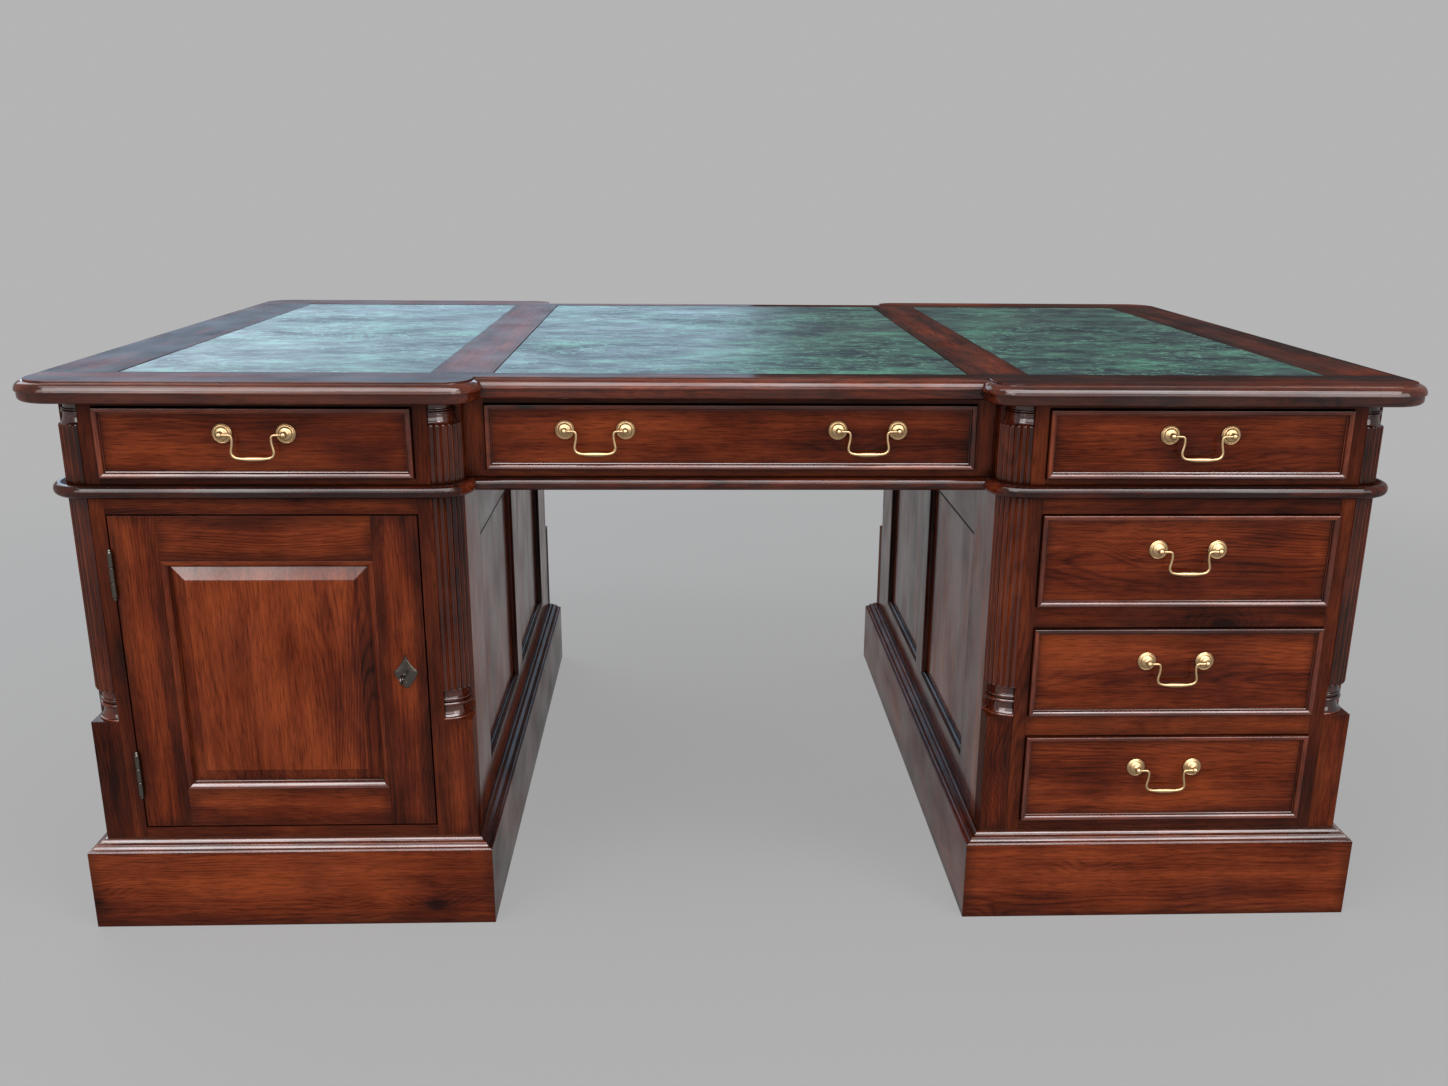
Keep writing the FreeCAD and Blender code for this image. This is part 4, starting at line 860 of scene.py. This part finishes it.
drawer_names = ["left_frieze", "right_frieze", "centre", "lower", "middle", "upper"]
for side, way in (("front", -1), ("back", 1)):
    for word in drawer_names:
        part = side + "_" + word + "_drawer"
        front, box = drawer_boards(part)
        face = way * farthest(front, 1)
        beads = mitred_surround(
            reach(front, 0), reach(front, 2), bead, lambda u, v, out: (u, face + way * out, v))
        for solid in [front] + box:
            lay_grain(ease(solid, planed))
        for solid in beads:
            lay_grain(solid, worn=False, glossy=lambda place: 1.0 if solid is beads[0] else 0.5)
        placed(made_up(part + "_front", [front] + beads, mahogany), part, "mahogany", part)
        placed(made_up(part + "_box", box, timber), part, "carcase_timber")


# ------------------------------------------------------------------ doors
# Two stiles and two rails round a raised and fielded panel, which an ovolo holds. The panel's grain
# stands upright, and its field is bevelled down to a thin tongue.

door_thick, stile, low_rail, high_rail = 0.020, 0.062, 0.056, 0.062
door_x, door_z = span("front_door", 0), span("front_door", 2)
opening_x = (door_x[0] + stile, door_x[1] - stile)
opening_z = (door_z[0] + low_rail, door_z[1] - high_rail)
tongue_y = pedestal_y - 0.009
door_ovolo = [(0.0, 0.0), (0.0100, 0.0), (0.0100, 0.0010), (0.0092, 0.0014)]
door_ovolo += arc((0.0016, 0.0013), 0.0075, 0, 90, 8)
door_ovolo += [(0.0006, 0.0090), (0.0, 0.0084)]
bevel_from, bevel_rise = (0.0104, 0.0004), (0.0172, 0.0048)
field_steps = [(0.0, -0.008), (0.0, 0.0), (0.0096, 0.0001), bevel_from]
field_steps += [
    (bevel_from[0] + bevel_rise[0] * t, bevel_from[1] + bevel_rise[1] * t) for t in (0.25, 0.5, 0.75, 1.0)]
field_steps += [(0.0278, 0.0057), (0.0284, 0.0060)]


def beside_corners(x, z, off=0.0012):
    """A rectangle with a point on either side of each corner."""
    (left, right), (low, high) = x, z
    return [
        (left, low + off), (left, low), (left + off, low),
        (right - off, low), (right, low), (right, low + off),
        (right, high - off), (right, high), (right - off, high),
        (left + off, high), (left, high), (left, high - off)]


def top_bevel(place):
    """The polish of the bevel along the panel's top, and nothing elsewhere."""
    out = abs(place.y) - tongue_y
    inward = bevel_from[0] + bevel_rise[0] * (out - bevel_from[1]) / bevel_rise[1]
    return 0.43 * (0.0001 < out < 0.0054 and place.z > opening_z[1] - inward - 0.0005)


def painted_bevel_shade(place):
    """The other three bevels are painted darker than the field: painted shade on the bevels that face
    sideways and down.
    """
    return -1.6 if 0.0001 < abs(place.y) - tongue_y < 0.0054 and not top_bevel(place) else 0.0


for side, way in (("front", 1), ("back", -1)):
    part = side + "_door"
    boards = []
    for solid in solids_of(part):
        low, high = reach(solid, 1)
        if abs(high - low - door_thick) < 0.0005:
            boards.append(ease(solid, planed))
        else:
            solid.free()
    panel = ring_loft([
        [(way * x, way * (-tongue_y - out), z) for x, z in beside_corners(
            (opening_x[0] + inward, opening_x[1] - inward), (opening_z[0] + inward, opening_z[1] - inward))]
        for inward, out in field_steps])
    surround = mitred_surround(
        opening_x, opening_z, door_ovolo, lambda u, v, out: (way * u, way * (-tongue_y - out), v))
    for solid in boards:
        lay_grain(solid)
    for solid in surround:
        lay_grain(solid, worn=False, glossy=lambda place: 1.0 if solid is surround[0] else 0.1)
    toned(lay_grain(panel, along=2, glossy=top_bevel), painted_bevel_shade)
    placed(made_up(part + "_wood", boards + surround + [panel], mahogany), part, "mahogany", part)


# ------------------------------------------------------------------ swan-neck handles
# Cast brass: two stepped rosettes with a ball post each, and a bail that swings in the balls, its grip
# a little swelled. The brass is lacquered pale and has darkened in its hollows.

def metal(name, bright, dull, rough, hollow_width):
    """A cast or wrought metal, worn bright where it is handled and dull in its hollows."""
    made, tree, shader = finish(name)
    place = wired(tree, "ShaderNodeTexCoord").outputs["Object"]
    tarnish = clouds(tree, place, (150.0, 150.0, 150.0), 4.0, 0.6)
    dull_part = product(
        tree, ramped(tree, hollows(tree, hollow_width), [(0.25, 1.0), (0.85, 0.12)]),
        ramped(tree, tarnish, [(0.30, 0.55), (0.62, 1.0)]))
    scratch = clouds(tree, place, (900.0, 900.0, 900.0), 3.0, 0.6)
    plug(tree, shader, {
        "Base Color": blended(tree, "MIX", dull_part, bright, dull), "Metallic": 1.0,
        "Roughness": added(tree, tarnish, 0.24, rough - 0.12), "Normal": bumped(tree, scratch, 0.25, 0.0002)})
    return made


brass = metal("antique_brass", (0.62, 0.435, 0.235, 1.0), (0.11, 0.062, 0.021, 1.0), 0.38, 0.010)
steel = metal("worn_dark_steel", (0.125, 0.110, 0.094, 1.0), (0.007, 0.005, 0.004, 1.0), 0.27, 0.008)


def turning(profile, steps=40):
    """A closed solid of revolution about +Z from a profile of (radius, height) that meets the axis."""
    solid = bmesh.new()
    chain = [solid.verts.new((radius, 0, height)) for radius, height in profile]
    edges = [solid.edges.new(pair) for pair in zip(chain, chain[1:])]
    bmesh.ops.spin(
        solid, geom=chain + edges, cent=(0, 0, 0), axis=(0, 0, 1), angle=math.tau, steps=steps,
        use_merge=True, use_duplicate=False)
    bmesh.ops.remove_doubles(solid, verts=solid.verts, dist=0.000002)
    return faced_out(solid)


post_profile = [(0.0, 0.0), (0.0130, 0.0), (0.0131, 0.0007), (0.0128, 0.0014), (0.0122, 0.0018)]
post_profile += [(0.0117, 0.0016), (0.0114, 0.0020), (0.0110, 0.0027), (0.0102, 0.0031), (0.0095, 0.0030)]
post_profile += [(0.0091, 0.0033)]
post_profile += [
    (0.0090 * math.cos(turn), 0.0034 + 0.0034 * math.sin(turn))
    for turn in map(math.radians, range(8, 62, 9))]
post_profile += [(0.0042, 0.0066), (0.0036, 0.0071), (0.0029, 0.0078), (0.0024, 0.0090), (0.0024, 0.0102)]
post_profile += arc((0.0, 0.0141), 0.0042, -52, 90, 10)[:-1] + [(0.0, 0.0183)]
post_apart, post_out = 0.082, 0.014

bail_stations = [
    (0.0385, 0.0, 2.1), (0.0362, 0.0, 2.1), (0.0352, 0.0, 1.70), (0.0310, 0.0, 1.60), (0.0282, -0.0002, 1.62),
    (0.0262, -0.0016, 1.66), (0.0253, -0.0042, 1.66), (0.0252, -0.0080, 1.66), (0.0257, -0.0130, 1.68),
    (0.0268, -0.0180, 1.72), (0.0274, -0.0220, 1.78), (0.0268, -0.0258, 1.82), (0.0243, -0.0288, 1.86),
    (0.0205, -0.0303, 1.88), (0.0165, -0.0309, 1.95), (0.0125, -0.0312, 2.35), (0.0085, -0.0313, 2.80),
    (0.0040, -0.0313, 2.98), (0.0, -0.0313, 3.0)]


def bail_tree():
    """Sweeps a round section along a chain of points, as thick as each point says."""
    tree, given = geometry_tree("bail_of_a_handle", [("Sides", "Int", 14), ("Cuts", "Int", 3)])
    curve = wired(tree, "GeometryNodeMeshToCurve", {"Mesh": given["Geometry"]})
    spline = wired(tree, "GeometryNodeCurveSplineType", {0: curve.outputs[0]}, spline_type="CATMULL_ROM")
    plugs = {"Geometry": spline.outputs[0], "Resolution": given["Cuts"]}
    finer = wired(tree, "GeometryNodeSetSplineResolution", plugs)
    thick = wired(tree, "GeometryNodeInputNamedAttribute", {"Name": "thickness"}, data_type="FLOAT")
    ring = wired(tree, "GeometryNodeCurvePrimitiveCircle", {"Resolution": given["Sides"], "Radius": 1.0})
    return ended(tree, given, wired(tree, "GeometryNodeCurveToMesh", {
        "Curve": finer.outputs[0], "Profile Curve": ring.outputs[0], "Scale": thick.outputs[0],
        "Fill Caps": True}))


def bail_mesh():
    """A bail hung from the middle of its two ends, its thickness given in millimetres."""
    stations = [(-x, z, r) for x, z, r in bail_stations] + bail_stations[-2::-1]
    chain = bpy.data.meshes.new("bail_chain")
    chain.from_pydata([(x, 0, z) for x, z, r in stations], [(k, k + 1) for k in range(len(stations) - 1)], [])
    thickness = chain.attributes.new("thickness", "FLOAT", "POINT")
    thickness.data.foreach_set("value", [r * 0.001 for x, z, r in stations])
    return shaped_by(bail_tree(), chain, {"Sides": 14, "Cuts": 3, "Finish": brass})


hung_bail = bail_mesh()
for side, way in (("front", 1), ("back", -1)):
    half_turn = Matrix.Rotation(0 if way == 1 else math.pi, 4, "Z")
    for word in drawer_names:
        posts = []
        for bail_word in ("centre_left", "centre_right") if word == "centre" else (word,):
            part = side + "_" + bail_word + "_bail"
            low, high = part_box(part)
            pivot = Vector(((low.x + high.x) / 2, (low.y + high.y) / 2, high.z - 0.0017))
            solid = bmesh.new()
            solid.from_mesh(hung_bail)
            faced_out(solid).transform(Matrix.Translation(pivot) @ half_turn)
            placed(made_up(part + "_cast", [solid], brass, even=False), part, "brass", part)
            for aside in (-post_apart / 2, post_apart / 2):
                post = turning(post_profile)
                post.transform(
                    Matrix.Translation(pivot + Vector((aside, post_out * way, 0)))
                    @ half_turn @ Matrix.Rotation(math.pi / 2, 4, "X"))
                posts.append(post)
        part, body = side + "_" + word + "_pull", side + "_" + word + "_drawer"
        placed(made_up(part + "_cast", posts, brass, even=False), body, "brass", part)


# ------------------------------------------------------------------ hinges, lock and key
# Dark steel butts in the door's outer edge, with ball tips on their pins and countersunk screws in
# their leaves. A pointed escutcheon on the lock stile, a lock case behind it, and a key with an oval bow.

knuckle = 0.0034
hinge_axis = (-0.828, -0.5703)
hinge_levels, hinge_tall, end_knuckle, knuckle_gap = (0.228, 0.519), 0.062, 0.0202, 0.0007
leaf_end = -0.5470
fixed_leaf, door_leaf = (-0.8290, -0.8282), (-0.8278, -0.8270)


def plate(*spans):
    """A thin metal plate between two limits each way."""
    middle = [(low + high) / 2 for low, high in spans]
    return ease(block(middle, [high - low for low, high in spans]), 0.0002, 1)


def barrel(low, high):
    """One knuckle of a hinge, its ends a little rounded."""
    ring = turning([
        (0.0, low), (knuckle - 0.0005, low), (knuckle, low + 0.0005), (knuckle, high - 0.0005),
        (knuckle - 0.0005, high), (0.0, high)], 24)
    bmesh.ops.translate(ring, vec=(*hinge_axis, 0), verts=ring.verts)
    return ring


def screw_tree():
    """A screw's head at every point, its slot turned by chance from a fixed seed."""
    tree, given = geometry_tree("screws_of_a_leaf", [("Head", "Float", 0.0028), ("Seed", "Int", 5)])
    head = wired(tree, "GeometryNodeMeshCone", {
        "Vertices": 18, "Radius Top": given["Head"], "Radius Bottom": product(tree, given["Head"], 1.12),
        "Depth": 0.0003})
    slot = wired(tree, "GeometryNodeMeshCube", {"Size": (0.0009, 0.0048, 0.0006)})
    lifted = wired(tree, "GeometryNodeTransform", {0: slot.outputs[0], "Translation": (0, 0, 0.0003)})
    plugs = {0: head.outputs[0], 1: lifted.outputs[0]}
    slotted = wired(tree, "GeometryNodeMeshBoolean", plugs, operation="DIFFERENCE")
    plugs = {"Max": (0.0, 0.0, math.pi), "Seed": given["Seed"]}
    chance = wired(tree, "FunctionNodeRandomValue", plugs, data_type="FLOAT_VECTOR")
    turned = wired(tree, "FunctionNodeEulerToRotation", {0: chance.outputs[0]})
    return ended(tree, given, wired(tree, "GeometryNodeInstanceOnPoints", {
        "Points": given["Geometry"], "Instance": slotted.outputs[0], "Rotation": turned.outputs[0]}))


screws = screw_tree()


def screw_heads(points):
    """Screw heads that face +Z at some points of a plate lying in XY."""
    cloud = bpy.data.meshes.new("screw_points")
    cloud.from_pydata(points, [], [])
    solid = bmesh.new()
    solid.from_mesh(shaped_by(screws, cloud, {"Head": 0.0028, "Seed": 5, "Finish": steel}))
    return solid


screw_places = [(-0.022, -0.554, 0.0), (-0.008, -0.547, 0.0), (0.008, -0.547, 0.0), (0.022, -0.554, 0.0)]
fixed_metal, door_metal = [], []
for level in hinge_levels:
    low, high = level - hinge_tall / 2, level + hinge_tall / 2
    inner = end_knuckle + knuckle_gap
    fixed_metal += [barrel(low, low + end_knuckle), barrel(high - end_knuckle, high)]
    door_metal.append(barrel(low + inner, high - inner))
    for z, way in ((high, 1), (low, -1)):
        tip = turning([(0.0, -0.0004), (0.0022, 0.0), (0.0030, 0.0008)] + arc(
            (0.0, 0.0026), 0.0026, -20, 84, 7) + [(0.0, 0.0052)], 24)
        tip.transform(Matrix.Translation((*hinge_axis, z)) @ Matrix.Diagonal((1, 1, way, 1)))
        fixed_metal.append(faced_out(tip))
    for holder, leaf, way in ((fixed_metal, fixed_leaf, 1), (door_metal, door_leaf, -1)):
        surface = leaf[1] if way == 1 else leaf[0]
        heads = screw_heads(screw_places)
        heads.transform(
            Matrix.Translation((surface, 0, level)) @ Matrix.Rotation(math.radians(90 * way), 4, "Y"))
        holder += [plate(leaf, (hinge_axis[1], leaf_end), (low, high)), heads]

lock_x, lock_z = -0.449, 0.379


def escutcheon():
    """A pointed plate with hollow sides and a hole for the shank, its edge chamfered."""
    tall, wide, curve, steps = 0.0245, 0.0160, 0.052, 12
    rim = []
    corners = [Vector(corner) for corner in ((wide, 0.0), (0.0, tall), (-wide, 0.0), (0.0, -tall))]
    for first, last in zip(corners, corners[1:] + corners[:1]):
        half = (last - first) / 2
        outward = Vector((half.y, -half.x)).normalized()
        hollow = 1 if first.y + last.y > 0 else -1
        middle = (first + last) / 2 + outward * hollow * math.sqrt(curve ** 2 - half.length ** 2)
        start = math.atan2(first.y - middle.y, first.x - middle.x)
        sweep = math.atan2(last.y - middle.y, last.x - middle.x) - start
        sweep = (sweep + math.pi) % math.tau - math.pi
        for step in range(steps):
            angle = start + sweep * step / steps
            rim.append(middle + curve * Vector((math.cos(angle), math.sin(angle))))
    rows = [
        [(point.x * scale, point.y * scale, out) for point in rim]
        for scale, out in ((1.0, 0.0), (1.0, 0.0009), (0.93, 0.0015))]
    turns = [k * math.tau / len(rim) for k in range(len(rim))]
    rows += [
        [(radius * math.cos(turn), radius * math.sin(turn), out) for turn in turns]
        for radius, out in (
            (0.0036, 0.0015), (0.0034, 0.0019), (0.0025, 0.0019), (0.0023, 0.0015), (0.0023, 0.0))]
    solid = bmesh.new()
    made = [[solid.verts.new(point) for point in row] for row in rows]
    bridge(solid, made + made[:1])
    stand = Matrix.Translation((lock_x, -pedestal_y, lock_z)) @ Matrix.Rotation(math.pi / 2, 4, "X")
    faced_out(solid).transform(stand)
    pins = []
    size = 0.0013
    for up in (0.0155, -0.0155):
        dome = arc((0.0, 0.0014), size, 10, 80, 5) + [(0.0, 0.0014 + size)]
        pin = turning([(0.0, 0.0009), (size, 0.0012)] + dome, 18)
        pin.transform(stand @ Matrix.Translation((0, up, 0)))
        pins.append(pin)
    return [solid] + pins


def oval_ring(middle, half_long, half_tall, thick):
    """A round bar bent into an oval that stands along Y and Z."""
    solid = bmesh.new()
    around, sides = 40, 12
    rows = []
    for k in range(around):
        angle = k * math.tau / around
        centre = Vector(middle) + Vector((0, half_long * math.cos(angle), half_tall * math.sin(angle)))
        outward = Vector((0, half_tall * math.cos(angle), half_long * math.sin(angle))).normalized()
        turns = [j * math.tau / sides for j in range(sides)]
        rows.append([
            solid.verts.new(centre + thick * (outward * math.cos(turn) + Vector((1, 0, 0)) * math.sin(turn)))
            for turn in turns])
    bridge(solid, rows + rows[:1])
    return faced_out(solid)


shank_profile = [(0.0, -0.0005), (0.0021, -0.0005), (0.0022, 0.0), (0.0022, 0.0280), (0.0026, 0.0284)]
shank_profile += [(0.0029, 0.0291), (0.0026, 0.0298), (0.0022, 0.0302), (0.0022, 0.0440), (0.0027, 0.0444)]
shank_profile += [(0.0030, 0.0452), (0.0027, 0.0460), (0.0021, 0.0466), (0.0021, 0.0482), (0.0027, 0.0490)]
shank_profile += [(0.0030, 0.0500), (0.0026, 0.0512), (0.0019, 0.0530), (0.0, 0.0536)]
shank_y, bow_y, bit_y = -0.5375, -0.5995, (-0.5445, -0.5375)
shank = turning(shank_profile, 28)
shank.transform(Matrix.Translation((lock_x, shank_y, lock_z)) @ Matrix.Rotation(math.pi / 2, 4, "X"))
bow = oval_ring((lock_x, bow_y, lock_z), 0.0088, 0.0056, 0.00135)
key_metal = [shank, bow, plate((lock_x - 0.001, lock_x + 0.001), bit_y, (lock_z - 0.0092, lock_z - 0.0015))]
lock_case = [solid for solid in solids_of("front_door_fittings") if reach(solid, 1)[1] > -0.5345]
door_metal += [ease(solid, 0.0004, 1) for solid in lock_case] + escutcheon()
bolt = [ease(solid, 0.0004, 1) for solid in solids_of("front_door_bolt")]


def turned_round(solids):
    """Copies of some solids on the second partner's side."""
    copies = [solid.copy() for solid in solids]
    for copy in copies:
        bmesh.ops.rotate(copy, cent=(0, 0, 0), matrix=Matrix.Rotation(math.pi, 3, "Z"), verts=copy.verts)
    return copies


hinges = fixed_metal + turned_round(fixed_metal)
back_metal = [turned_round(solids) for solids in (door_metal, key_metal, bolt)]
placed(
    made_up("hinges_on_the_carcase", hinges, steel, even=False), "desk", "dark_steel", "fixed_hinge_leaves")
for side, (fittings, key, bar) in (("front", (door_metal, key_metal, bolt)), ("back", back_metal)):
    door = side + "_door"
    for name, body, part, solids in (
            ("_metalwork", door, "_fittings", fittings), ("_key_cut", door + "_key", "_key", key),
            ("_bolt_bar", door + "_bolt", "_bolt", bar)):
        placed(made_up(door + name, solids, steel, even=False), body, "dark_steel", door + part)


# ------------------------------------------------------------------ studio
# A pale grey floor that fades into a background of the same grey. A broad soft light overhead, a window
# behind on the left and two softer lights in front light the desk; two broad panels and a low window on
# the leather show only as the sheen on polish, leather and metal.

paper, tree, shader = finish("grey_floor")
place = wired(tree, "ShaderNodeTexCoord").outputs["Object"]
mist = clouds(tree, place, (0.7, 0.7, 0.7), 2.0)
plug(tree, shader, {
    "Base Color": ramped(tree, mist, [(0.3, 0.445), (0.7, 0.455)]), "Roughness": 0.9,
    "Specular IOR Level": 0.1})


def seen_directly(tree):
    """1 for what the camera sees, straight or in a gloss or a glass."""
    ray = wired(tree, "ShaderNodeLightPath").outputs
    mirrored = reckon(tree, "MAXIMUM", ray["Is Glossy Ray"], ray["Is Transmission Ray"])
    return reckon(tree, "MAXIMUM", ray["Is Camera Ray"], mirrored)


def mixed(tree, amount, first, second):
    return wired(tree, "ShaderNodeMixShader", {0: amount, 1: first, 2: second}).outputs[0]


far = wired(tree, "ShaderNodeVectorMath", {0: place}, operation="LENGTH").outputs["Value"]
pale = wired(tree, "ShaderNodeEmission", {0: (0.462, 0.462, 0.462, 1.0)}).outputs[0]
clear = wired(tree, "ShaderNodeBsdfTransparent").outputs[0]
lifted = mixed(tree, product(tree, seen_directly(tree), 0.70), shader.outputs[0], pale)
faded = mixed(tree, swelling(tree, far, 1.9, 3.6, 0.0, 1.0), lifted, clear)
plug(tree, tree.nodes["Material Output"], {"Surface": faded})
floor_mesh = bpy.data.meshes.new("studio_floor")
floor_mesh.from_pydata([(-6, -6, 0), (6, -6, 0), (6, 6, 0), (-6, 6, 0)], [], [(0, 1, 2, 3)])
floor_mesh.materials.append(paper)
held("studio_floor", floor_mesh)

world = bpy.data.worlds.new("studio_air")
bpy.context.scene.world = world
world.use_nodes = True
air = world.node_tree
plug(air, air.nodes["Background"], {
    "Color": blended(air, "MIX", seen_directly(air), (0.41, 0.42, 0.44, 1.0), (0.458, 0.458, 0.458, 1.0))})


def soft_light(name, place, target, width, height, radiance, colour):
    """A broad rectangular lamp that the camera doesn't see, as bright per area as it says."""
    lamp = bpy.data.lights.new(name, "AREA")
    lamp.shape = "RECTANGLE"
    lamp.size, lamp.size_y = width, height
    lamp.energy = radiance * math.pi * width * height
    lamp.color = colour
    holder = held(name, lamp)
    holder.location = place
    holder.rotation_euler = (Vector(target) - Vector(place)).to_track_quat("-Z", "Y").to_euler()
    holder.visible_camera = False
    return holder


soft_light("overhead_strip", (-0.2, -1.1, 3.0), (0.0, -0.3, 0.4), 4.2, 0.7, 3.2, (1.0, 0.98, 0.97))
soft_light("behind_left", (-3.0, 3.4, 3.0), (-0.5, 0.0, 0.8), 3.0, 2.2, 3.0, (0.80, 0.91, 1.0))
soft_light("front_left", (-2.6, -3.8, 2.2), (0.0, 0.0, 0.4), 2.2, 2.2, 3.3, (1.0, 0.98, 0.95))
soft_light("front_right", (2.9, -3.4, 1.9), (0.0, 0.0, 0.4), 2.2, 2.2, 3.3, (1.0, 0.97, 0.94))
for sheen in (
        ("polish_above", (0.0, -2.4, 3.1), (0.0, -0.5, 0.5), 5.0, 2.2, 6.5, (1.0, 0.95, 0.96)),
        ("polish_in_front", (0.0, -4.6, 1.7), (0.0, 0.0, 0.6), 6.0, 1.2, 2.2, (1.0, 0.95, 0.95)),
        ("window_on_the_leather", (-1.3, 3.6, 1.6), (-0.5, 0.0, 0.78), 3.2, 1.2, 4.0, (0.55, 0.76, 1.0))):
    soft_light(*sheen).visible_diffuse = False

camera = bpy.data.cameras.new("camera")
camera.sensor_width = 36.0
camera.lens = 34.707
camera.shift_x, camera.shift_y = -0.0099, 0.0588
stand, turn, tilt, roll = (-0.0654, -2.3930, 1.0347), 2.32, 18.01, -0.51
view = Matrix.Translation(stand)
for angle, axis in ((-turn, "Z"), (90 - tilt, "X"), (-roll, "Z")):
    view = view @ Matrix.Rotation(math.radians(angle), 4, axis)
eye = held("camera", camera)
eye.matrix_world = view
bpy.context.scene.camera = eye
bpy.context.scene.view_settings.view_transform = "Standard"
